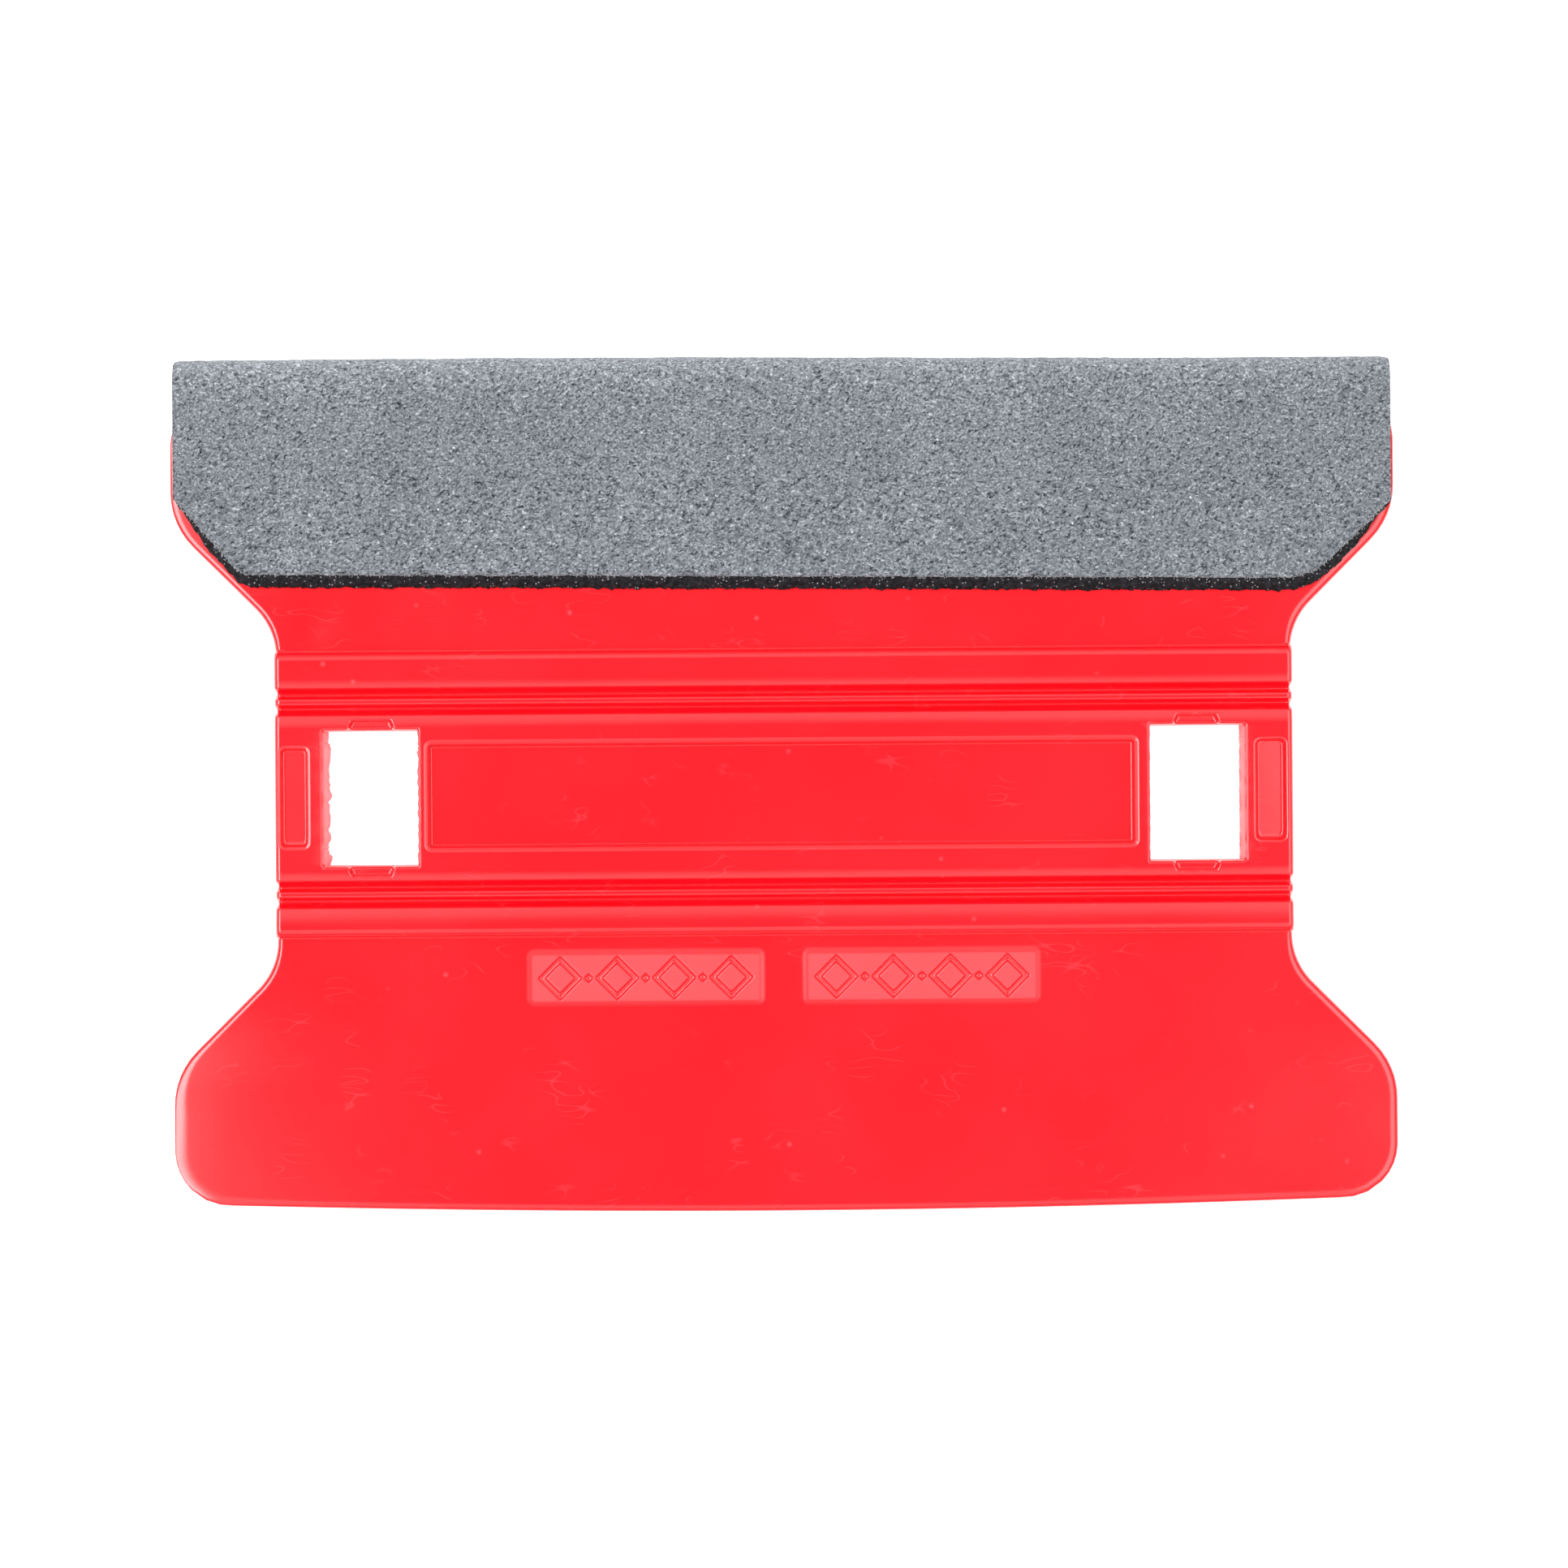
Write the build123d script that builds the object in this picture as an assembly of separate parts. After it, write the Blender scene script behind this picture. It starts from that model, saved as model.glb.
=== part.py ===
from build123d import *
import math
import os

# Squeegee applicator: a moulded card with two pressing blades, a waisted grip block between them and
# a foam-backed suede pad folded over one working edge.
# X runs along the working edges, +Y points to the padded edge and +Z is up. The tool lies flat, and its
# origin is at the middle of its bounding box, on the surface that it lies on. All sizes are in mm.
# Each function models its piece about the card's own centre, and placed() moves it to that frame.

# The card's outline
LOBE_HALF_WIDTH = 76.2
WAIST_HALF_WIDTH = 63.2
CARD_HALF_LENGTH = 51.8
EDGE_BOW = 1.15
CORNER_RADIUS = 6.8
SHOULDER_START = 38.2
SHOULDER_RADIUS = 9.7
WAIST_HALF_LENGTH = 17.6
WAIST_FILLET = 8.6
FLANK_ANGLE = 45.0

# The card's thickness, as half-thicknesses from its middle plane
GRIP_HALF_THICKNESS = 3.1
ROOT_HALF_THICKNESS = 1.05
EDGE_HALF_THICKNESS = 0.6
GRIP_RIM_RADIUS = 1.0
BLADE_RIM_RADIUS = 0.45

# The grip block, and the valley with a thin bead along each of its two rails
GRIP_HALF_LENGTH = 17.0
GRIP_FLANK_RUN = 0.45
RAIL_CENTRE = 11.95
VALLEY_HALF_WIDTH = 2.0
VALLEY_FLOOR_HALF_WIDTH = 1.1
VALLEY_DEPTH = 1.4
VALLEY_LIP_RADIUS = 1.2
BEAD_HALF_WIDTH = 0.45
BEAD_CREST_HALF_WIDTH = 0.15
BEAD_HEIGHT = 0.8
BEAD_CREST_RADIUS = 0.12
STEP_RADIUS = 0.2
NICK_RADIUS = 0.55
NICK_DEPTH = 0.35
NICK_OFFSET = 0.78

# Sunken areas of the grip block, the same on both faces
PANEL_LENGTH = 88.0
PANEL_HEIGHT = 13.2
PANEL_DEPTH = 1.1
POCKET_CENTRE_X = 60.5
POCKET_LENGTH = 4.1
POCKET_HEIGHT = 12.8
POCKET_DEPTH = 0.8
RECESS_CORNER = 0.5
RECESS_DRAFT = 18.0

# Windows through the grip block, with a shallow ledge at the middle of each long lip
WINDOW_CENTRE_X = 51.2
WINDOW_WIDTH = 11.6
WINDOW_HEIGHT = 17.0
WINDOW_CORNER = 0.35
LEDGE_LENGTH = 5.8
LEDGE_RISE = 1.1
LEDGE_DEPTH = 0.9

# Sunken mark patches on the lower blade, each with a row of plain diamonds
PATCH_CENTRES_X = (-17.4, 17.0)
PATCH_LENGTH = 30.2
PATCH_HEIGHT = 7.6
PATCH_CENTRE_Y = -22.6
PATCH_DEPTH = 0.12
PATCH_CORNER = 1.2
DIAMOND_COUNT = 4
DIAMOND_PITCH = 7.1
DIAMOND_SIZE = 5.4
DIAMOND_STROKE = 0.8
DOT_SIZE = 1.2
MARK_DEPTH = 0.25

# The stick-on pad of film, foam and suede, folded over the upper working edge
FILM_THICKNESS = 0.12
FOAM_THICKNESS = 1.5
SUEDE_THICKNESS = 0.45
FOLD_REACH = 54.6
PAD_HALF_WIDTH = 75.6
PAD_LOWER_LEFT_Y = 27.9
PAD_LOWER_RIGHT_Y = 26.4
PAD_LEFT_CUT = (8.4, 9.6)
PAD_RIGHT_CUT = (10.2, 9.8)
PAD_CORNER_RADIUS = 3.0
FOAM_MARGIN = 1.3

# Working values that follow from the sizes above
BLADE_START = GRIP_HALF_LENGTH + GRIP_FLANK_RUN
BLADE_SLOPE = (ROOT_HALF_THICKNESS - EDGE_HALF_THICKNESS) / (CARD_HALF_LENGTH - BLADE_START)
MID_Y = -(FOLD_REACH - CARD_HALF_LENGTH) / 2
BLANK_HALF_LENGTH = 90.0


def placed(solid):
    """Moves a solid from the card's own centre to the finished frame."""
    return Pos(0, MID_Y, GRIP_HALF_THICKNESS) * solid


def blade_half_thickness(y):
    """Half the blade's thickness at a distance y from the middle of the card."""
    return ROOT_HALF_THICKNESS - (y - BLADE_START) * BLADE_SLOPE


def card_outline(grow=0.0):
    """The card's I-shaped outline, moved outwards by grow: lines and tangent arcs, with bowed ends."""
    lobe = LOBE_HALF_WIDTH + grow
    waist = WAIST_HALF_WIDTH + grow
    shoulder = SHOULDER_RADIUS + grow
    hollow = WAIST_FILLET - grow
    corner = CORNER_RADIUS + grow
    turn = math.radians(FLANK_ANGLE)
    corner_y = CARD_HALF_LENGTH - EDGE_BOW - CORNER_RADIUS
    flank_end = (
        lobe - shoulder * (1 - math.cos(turn)),
        SHOULDER_START - shoulder * math.sin(turn),
    )
    flank_start = (
        waist + hollow * (1 - math.cos(turn)),
        WAIST_HALF_LENGTH + hollow * math.sin(turn),
    )
    edge_end = (lobe - corner, corner_y + corner)
    quarter = [
        Line((waist, 0), (waist, WAIST_HALF_LENGTH)),
        CenterArc((waist + hollow, WAIST_HALF_LENGTH), hollow, 180, -FLANK_ANGLE),
        Line(flank_start, flank_end),
        CenterArc((lobe - shoulder, SHOULDER_START), shoulder, -FLANK_ANGLE, FLANK_ANGLE),
        Line((lobe, SHOULDER_START), (lobe, corner_y)),
        CenterArc((lobe - corner, corner_y), corner, 0, 90),
    ]
    edge = ThreePointArc(edge_end, (0, CARD_HALF_LENGTH + grow), (-edge_end[0], edge_end[1]))
    half = quarter + [edge] + [mirror(piece, about=Plane.YZ) for piece in quarter]
    return make_face(half + [mirror(piece, about=Plane.XZ) for piece in half])


def block_corners():
    """The corners of a quarter of the grip block's section, as (y, z, rounding radius), from the middle out."""
    top = GRIP_HALF_THICKNESS
    floor = top - VALLEY_DEPTH
    crest = floor + BEAD_HEIGHT
    return [
        (RAIL_CENTRE - VALLEY_HALF_WIDTH, top, VALLEY_LIP_RADIUS),
        (RAIL_CENTRE - VALLEY_FLOOR_HALF_WIDTH, floor, STEP_RADIUS),
        (RAIL_CENTRE - BEAD_HALF_WIDTH, floor, STEP_RADIUS),
        (RAIL_CENTRE - BEAD_CREST_HALF_WIDTH, crest, BEAD_CREST_RADIUS),
        (RAIL_CENTRE + BEAD_CREST_HALF_WIDTH, crest, BEAD_CREST_RADIUS),
        (RAIL_CENTRE + BEAD_HALF_WIDTH, floor, STEP_RADIUS),
        (RAIL_CENTRE + VALLEY_FLOOR_HALF_WIDTH, floor, STEP_RADIUS),
        (RAIL_CENTRE + VALLEY_HALF_WIDTH, top, VALLEY_LIP_RADIUS),
        (GRIP_HALF_LENGTH, top, STEP_RADIUS),
        (BLADE_START, ROOT_HALF_THICKNESS, 0),
    ]


def blade_corners():
    """The corners of a quarter of the blades' section, as (y, z, rounding radius)."""
    beyond = CARD_HALF_LENGTH + 1
    return [(BLADE_START, ROOT_HALF_THICKNESS, 0), (beyond, blade_half_thickness(beyond), 0)]


def bar(quarter):
    """A long bar along X whose section is the given quarter, mirrored four ways and with rounded corners."""
    upper = [(-y, z) for y, z, _ in reversed(quarter)] + [(y, z) for y, z, _ in quarter]
    lower = [(y, -z) for y, z in reversed(upper)]
    section = make_face(Polyline(*upper, *lower, close=True))
    for radius in sorted({r for _, _, r in quarter if r > 0}):
        rounded = [(y, z) for y, z, r in quarter if r == radius]
        corners = [
            v
            for v in section.vertices()
            if any(math.dist((abs(v.X), abs(v.Y)), point) < 1e-4 for point in rounded)
        ]
        section = fillet(corners, radius)
    return extrude(Plane.YZ * section, amount=BLANK_HALF_LENGTH, both=True)


def recess(length, height, depth):
    """A sunken rectangle's cutter, drafted and with round corners, that hangs from the block's top face."""
    mouth = Pos(0, 0, GRIP_HALF_THICKNESS) * RectangleRounded(length, height, RECESS_CORNER)
    return extrude(mouth, amount=-depth, taper=RECESS_DRAFT)


def window_ledge():
    """The cutter of the shallow ledge at the middle of a window's long lip, with slanted ends."""
    foot = LEDGE_LENGTH / 2
    crown = foot - LEDGE_RISE / 2
    inside = WINDOW_HEIGHT / 2
    outline = Polyline((-foot, 0), (-foot, inside), (-crown, inside + LEDGE_RISE),
                       (crown, inside + LEDGE_RISE), (foot, inside), (foot, 0), close=True)
    return extrude(Pos(0, 0, GRIP_HALF_THICKNESS - LEDGE_DEPTH) * make_face(outline), amount=LEDGE_DEPTH)


def grip_cutters():
    """Everything that is cut from one face of the grip block."""
    cutters = [recess(PANEL_LENGTH, PANEL_HEIGHT, PANEL_DEPTH)]
    for side in (-1, 1):
        cutters.append(Pos(side * POCKET_CENTRE_X) * recess(POCKET_LENGTH, POCKET_HEIGHT, POCKET_DEPTH))
        for turn in (0, 180):
            cutters.append(Pos(side * WINDOW_CENTRE_X) * Rot(0, 0, turn) * window_ledge())
    return cutters


def windows():
    """The cutters of the two windows."""
    mouth = RectangleRounded(WINDOW_WIDTH, WINDOW_HEIGHT, WINDOW_CORNER)
    return [
        Pos(side * WINDOW_CENTRE_X) * extrude(mouth, amount=GRIP_HALF_THICKNESS + 1, both=True)
        for side in (-1, 1)
    ]


def side_nicks():
    """Upright cutters that nick the waist's sides where the valleys run out, two for each valley."""
    x = WAIST_HALF_WIDTH - NICK_DEPTH + NICK_RADIUS
    return [
        Pos(side * x, rail * RAIL_CENTRE + offset) * Cylinder(NICK_RADIUS, 2 * GRIP_HALF_THICKNESS + 2)
        for side in (-1, 1)
        for rail in (-1, 1)
        for offset in (-NICK_OFFSET, NICK_OFFSET)
    ]


def on_lower_blade(x):
    """The place on the lower blade's sloping top face at the middle of a mark patch."""
    height = blade_half_thickness(-PATCH_CENTRE_Y)
    return Pos(x, PATCH_CENTRE_Y, height) * Rot(math.degrees(math.atan(BLADE_SLOPE)), 0, 0)


def diamond(size):
    """A square of the given width across its corners, standing on a corner."""
    return Rot(0, 0, 45) * Rectangle(size / math.sqrt(2), size / math.sqrt(2))


def mark_cutters():
    """The shallow patches on the lower blade, each with its row of open diamonds and small dots."""
    sink = extrude(RectangleRounded(PATCH_LENGTH, PATCH_HEIGHT, PATCH_CORNER), amount=PATCH_DEPTH, both=True)
    ring = diamond(DIAMOND_SIZE) - diamond(DIAMOND_SIZE - 2 * DIAMOND_STROKE)
    first = -(DIAMOND_COUNT - 1) / 2 * DIAMOND_PITCH
    row = [Pos(first + i * DIAMOND_PITCH) * ring for i in range(DIAMOND_COUNT)]
    row += [Pos(first + (i + 0.5) * DIAMOND_PITCH) * diamond(DOT_SIZE) for i in range(DIAMOND_COUNT - 1)]
    marks = [extrude(mark, amount=PATCH_DEPTH + MARK_DEPTH, both=True) for mark in row]
    return [on_lower_blade(x) * cutter for x in PATCH_CENTRES_X for cutter in [sink] + marks]


def grip_block():
    """The grip block with its rails, inside the waist's outline and with a rounded rim."""
    blank = extrude(card_outline(), amount=GRIP_HALF_THICKNESS, both=True)
    rims = blank.edges().filter_by(lambda e: abs(e.center().Z) > GRIP_HALF_THICKNESS - 0.01)
    return fillet(rims, GRIP_RIM_RADIUS) & bar(block_corners())


def blades():
    """The card without its grip block: both blades, tapered to their edges, with a rounded rim."""
    plate = extrude(card_outline(), amount=GRIP_HALF_THICKNESS, both=True) & bar(blade_corners())
    upright = plate.edges().filter_by(Axis.Z)
    across = plate.edges().filter_by(Axis.X)
    return fillet(plate.edges() - upright - across, BLADE_RIM_RADIUS)


def blade_body():
    """The moulded card: tapered blades, grip block with rails, windows, recesses and marks."""
    upper = grip_cutters()
    lower = [Rot(180, 0, 0) * cutter for cutter in upper]
    card = blades() + grip_block()
    return card - upper - lower - windows() - side_nicks() - mark_cutters()


def fold(thickness, reach):
    """A solid bar of the blade's section, thickened on both faces, with a round nose at the given reach."""
    start = WAIST_HALF_LENGTH
    nose = reach - blade_half_thickness(CARD_HALF_LENGTH) - thickness
    back = blade_half_thickness(start) + thickness
    front = blade_half_thickness(nose) + thickness
    outline = [
        Line((start, -back), (start, back)),
        Line((start, back), (nose, front)),
        ThreePointArc((nose, front), (reach, 0), (nose, -front)),
        Line((nose, -front), (start, -back)),
    ]
    return extrude(Plane.YZ * make_face(outline), amount=BLANK_HALF_LENGTH, both=True)


def pad_cut(margin=0.0):
    """An upright prism of the pad's die-cut outline, with its lower side and cut corners moved out by margin."""
    left, right = -PAD_HALF_WIDTH, PAD_HALF_WIDTH
    far = FOLD_REACH + 10
    outline = make_face(Polyline(
        (left, far),
        (left, PAD_LOWER_LEFT_Y + PAD_LEFT_CUT[1]),
        (left + PAD_LEFT_CUT[0], PAD_LOWER_LEFT_Y),
        (right - PAD_RIGHT_CUT[0], PAD_LOWER_RIGHT_Y),
        (right, PAD_LOWER_RIGHT_Y + PAD_RIGHT_CUT[1]),
        (right, far),
        close=True,
    ))
    outline = fillet(outline.vertices().filter_by(lambda v: v.Y < far - 1), PAD_CORNER_RADIUS)
    if margin:
        outline = offset(outline, amount=margin)
        outline = outline & Pos(0, far / 2) * Rectangle(2 * PAD_HALF_WIDTH, 2 * far)
    return extrude(outline, amount=2 * GRIP_HALF_THICKNESS, both=True)


def film_bed():
    """The card's padded edge grown by the film's thickness, which is the foam's inside."""
    card = extrude(card_outline(FILM_THICKNESS), amount=GRIP_HALF_THICKNESS, both=True)
    return card & fold(FILM_THICKNESS, CARD_HALF_LENGTH + FILM_THICKNESS)


def adhesive_film(card):
    """The double-sided film between the blade and the foam."""
    return (film_bed() & pad_cut(FOAM_MARGIN)) - card


def foam_core():
    """The pad's foam, folded over the working edge and filling the blade's rounded corners."""
    outside = fold(FILM_THICKNESS + FOAM_THICKNESS, FOLD_REACH - SUEDE_THICKNESS)
    return (outside & pad_cut(FOAM_MARGIN)) - film_bed()


def suede_face():
    """The pad's suede, folded over the foam."""
    foam_outside = fold(FILM_THICKNESS + FOAM_THICKNESS, FOLD_REACH - SUEDE_THICKNESS)
    outside = fold(FILM_THICKNESS + FOAM_THICKNESS + SUEDE_THICKNESS, FOLD_REACH)
    return (outside & pad_cut()) - foam_outside


def main():
    """Writes each piece to its own STEP file."""
    os.makedirs("parts", exist_ok=True)
    card = blade_body()
    pieces = {
        "blade_body": card,
        "adhesive_film": adhesive_film(card),
        "foam_core": foam_core(),
        "suede_face": suede_face(),
    }
    for name, piece in pieces.items():
        export_step(placed(piece), f"parts/{name}.step")


main()
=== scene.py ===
"""Squeegee applicator: the visual model of a moulded card with a suede pad folded over one working edge.

X runs along the working edges, +Y points to the padded edge and +Z is up. The shape functions work in
millimetres about the card's own centre, and Shell.to_piece() puts the finished mesh in the frame, in metres.
"""

import logging
import math
from dataclasses import dataclass, field
from enum import Enum

import bpy
import numpy as np
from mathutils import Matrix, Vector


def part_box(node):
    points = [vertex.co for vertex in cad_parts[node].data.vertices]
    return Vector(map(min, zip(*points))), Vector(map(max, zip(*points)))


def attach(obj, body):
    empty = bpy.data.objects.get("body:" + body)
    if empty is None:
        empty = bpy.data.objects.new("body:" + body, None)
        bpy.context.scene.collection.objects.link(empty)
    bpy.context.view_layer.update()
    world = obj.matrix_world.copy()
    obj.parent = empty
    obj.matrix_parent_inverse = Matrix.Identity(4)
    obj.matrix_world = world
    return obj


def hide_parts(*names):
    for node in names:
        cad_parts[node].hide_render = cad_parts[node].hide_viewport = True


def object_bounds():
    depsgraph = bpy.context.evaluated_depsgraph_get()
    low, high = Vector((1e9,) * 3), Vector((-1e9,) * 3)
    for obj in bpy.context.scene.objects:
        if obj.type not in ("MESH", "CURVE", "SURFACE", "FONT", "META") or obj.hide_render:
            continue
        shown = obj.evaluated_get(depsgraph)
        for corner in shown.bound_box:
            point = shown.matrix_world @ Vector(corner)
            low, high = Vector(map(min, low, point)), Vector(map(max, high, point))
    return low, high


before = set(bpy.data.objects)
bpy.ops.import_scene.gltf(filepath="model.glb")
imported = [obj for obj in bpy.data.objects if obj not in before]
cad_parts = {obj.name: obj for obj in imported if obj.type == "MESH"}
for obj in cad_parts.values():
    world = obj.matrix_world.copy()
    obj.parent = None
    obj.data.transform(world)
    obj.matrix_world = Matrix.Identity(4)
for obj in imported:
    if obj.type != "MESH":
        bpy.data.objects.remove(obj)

CAD_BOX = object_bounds()
LOG = logging.getLogger("squeegee_applicator")
MM = 0.001


# ---------------------------------------------------------------------------------------------------------
# Shape helpers
# ---------------------------------------------------------------------------------------------------------


def smooth(x: np.ndarray) -> np.ndarray:
    """Smoothstep: 3x squared minus 2x cubed, with x held between 0 and 1."""
    t = np.clip(x, 0.0, 1.0)
    return t * t * (3.0 - 2.0 * t)


def ripple(x: np.ndarray, y: np.ndarray, pitch: float, seed: int, waves: int = 14) -> np.ndarray:
    """Soft random relief: a sum of plane sine waves with random directions, phases and lengths.

    Args:
        x: Positions along X.
        y: Positions along Y.
        pitch: The usual distance from crest to crest, in the positions' unit.
        seed: Picks one relief, the same one each time.
        waves: How many sine waves are added.

    Returns:
        The relief, mostly between -1 and 1.
    """
    rng = np.random.default_rng(seed)
    turn = rng.uniform(0.0, 2.0 * math.pi, waves)
    phase = rng.uniform(0.0, 2.0 * math.pi, waves)
    number = 2.0 * math.pi / (pitch * rng.uniform(0.7, 1.5, waves))
    along = np.asarray(x)[..., None] * np.cos(turn) + np.asarray(y)[..., None] * np.sin(turn)
    return np.sin(along * number + phase).sum(-1) * math.sqrt(2.0 / waves) * 0.6


def rectangle_distance(x: np.ndarray, y: np.ndarray, half_x: float, half_y: float,
                       radius: float) -> np.ndarray:
    """Signed distance to a rectangle with round corners: negative inside and positive outside."""
    qx = np.abs(x) - half_x + radius
    qy = np.abs(y) - half_y + radius
    outside = np.hypot(np.maximum(qx, 0.0), np.maximum(qy, 0.0))
    return outside + np.minimum(np.maximum(qx, qy), 0.0) - radius


def rounded_step(t: np.ndarray, depth: float, top: float, foot: float, lean: float) -> np.ndarray:
    """How far a surface drops across a wall: an arc over its lip, a straight slope, and an arc at its foot.

    Args:
        t: Distance across the wall, from where its lip starts.
        depth: The whole drop.
        top: The lip's radius.
        foot: The foot's radius.
        lean: The straight slope's angle, in radians.

    Returns:
        The drop, from 0 before the wall to the whole depth past it.
    """
    high, rise = top * math.sin(lean), math.tan(lean)
    run = max(depth - (top + foot) * (1 - math.cos(lean)), 0.0) / rise
    end = high + run + foot * math.sin(lean)
    lip = top - np.sqrt(top**2 - np.clip(t, 0.0, high) ** 2)
    slope = top * (1 - math.cos(lean)) + (t - high) * rise
    base = depth - foot + np.sqrt(foot**2 - np.clip(end - t, 0.0, foot * math.sin(lean)) ** 2)
    return np.select([t <= 0, t < high, t < high + run, t < end], [0.0 * t, lip, slope, base], depth)


def spaced(*stretches: tuple[float, float, float]) -> np.ndarray:
    """Places along a line, from (start, end, step) stretches that follow each other, without repeats."""
    parts = [np.linspace(a, b, max(1, round((b - a) / step)) + 1) for a, b, step in stretches]
    return np.unique(np.round(np.concatenate(parts), 6))


def both_sides(positive: np.ndarray) -> np.ndarray:
    """The places given and their mirror images, in rising order."""
    return np.unique(np.concatenate([-positive, positive]))


@dataclass
class Shell:
    """A closed mesh in the making, with its points in millimetres about the card's centre.

    Attributes:
        points: Arrays of points, in the order in which they were added.
        faces: Lists of corner indices.
        values: One array of a named value for each array of points, such as how matte the surface is.
        count: The number of points so far.
    """

    points: list = field(default_factory=list)
    faces: list = field(default_factory=list)
    values: list = field(default_factory=list)
    count: int = 0

    def add(self, x: np.ndarray, y: np.ndarray, z: np.ndarray, value: np.ndarray | float = 0.0) -> np.ndarray:
        """Adds points.

        Args:
            x: Places along X, of any shape.
            y: Places along Y.
            z: Places along Z.
            value: The named value at each point.

        Returns:
            The points' indices, in the same shape.
        """
        x, y, z, value = np.broadcast_arrays(x, y, z, value)
        index = self.count + np.arange(x.size).reshape(x.shape)
        self.points.append(np.stack([x, y, z], -1).reshape(-1, 3))
        self.values.append(np.asarray(value, float).ravel())
        self.count += x.size
        return index

    def join(self, *corners: np.ndarray, turned: bool = False) -> None:
        """Adds one face for each set of matching entries of the corner arrays, turned over if asked."""
        face = np.stack([c.ravel() for c in corners], -1)
        self.faces.extend((face[:, ::-1] if turned else face).tolist())

    def grid(self, index: np.ndarray, turned: bool = False, keep: np.ndarray | None = None) -> None:
        """Fills a grid of points with quads.

        Args:
            index: The points' indices, as rows of columns.
            turned: Turns the faces over.
            keep: Which cells to fill, or None for all of them.
        """
        corners = [index[:-1, :-1], index[:-1, 1:], index[1:, 1:], index[1:, :-1]]
        if keep is not None:
            corners = [c[keep] for c in corners]
        self.join(*corners, turned=turned)

    def stitch(self, lower: np.ndarray, at_lower: np.ndarray, upper: np.ndarray, at_upper: np.ndarray,
               turned: bool) -> None:
        """Joins two rows of a grid when one of them holds all the other's columns and more between them.

        Each short edge of the fuller row makes a triangle with the sparse column on its left, and one more
        triangle closes each sparse cell on its right.

        Args:
            lower: The lower row's indices.
            at_lower: The lower row's places across.
            upper: The upper row's indices.
            at_upper: The upper row's places across.
            turned: Turns the faces over.
        """
        if len(lower) == len(upper):
            self.grid(np.stack([lower, upper]), turned)
            return
        full_is_upper = len(upper) > len(lower)
        full, at_full = (upper, at_upper) if full_is_upper else (lower, at_lower)
        sparse, at_sparse = (lower, at_lower) if full_is_upper else (upper, at_upper)
        tiny = 1e-7
        cell = np.searchsorted(at_sparse, at_full[:-1] + tiny, side="right") - 1
        right = np.searchsorted(at_full, at_sparse[1:] - tiny)
        if full_is_upper:
            self.join(sparse[cell], full[1:], full[:-1], turned=turned)
            self.join(sparse[:-1], sparse[1:], full[right], turned=turned)
        else:
            self.join(full[:-1], full[1:], sparse[cell], turned=turned)
            self.join(full[right], sparse[1:], sparse[:-1], turned=turned)

    def skirt(self, rings: list[np.ndarray], turned: bool = False) -> None:
        """Joins closed loops of points, each to the next, as the wall that they go down."""
        for upper, lower in zip(rings[:-1], rings[1:]):
            self.join(upper, lower, np.roll(lower, -1), np.roll(upper, -1), turned=turned)

    def to_piece(self, name: str, centre: np.ndarray, value_name: str = "") -> bpy.types.Object:
        """Makes the Blender object, in metres and in the frame, with smooth shading.

        Args:
            name: The piece's name.
            centre: The card's centre in the frame, in millimetres.
            value_name: The name of the attribute that holds the points' values, or nothing for none.

        Returns:
            The new object, at the origin.
        """
        mesh = bpy.data.meshes.new(name)
        points = (np.concatenate(self.points) + centre) * MM
        mesh.from_pydata(points.tolist(), [], self.faces)
        mesh.polygons.foreach_set("use_smooth", np.ones(len(mesh.polygons), bool))
        if value_name:
            attribute = mesh.attributes.new(value_name, "FLOAT", "POINT")
            attribute.data.foreach_set("value", np.concatenate(self.values).astype(np.float32))
        mesh.validate()
        mesh.update()
        piece = bpy.data.objects.new(name, mesh)
        bpy.context.scene.collection.objects.link(piece)
        return piece


# ---------------------------------------------------------------------------------------------------------
# The moulded card
# ---------------------------------------------------------------------------------------------------------


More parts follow.
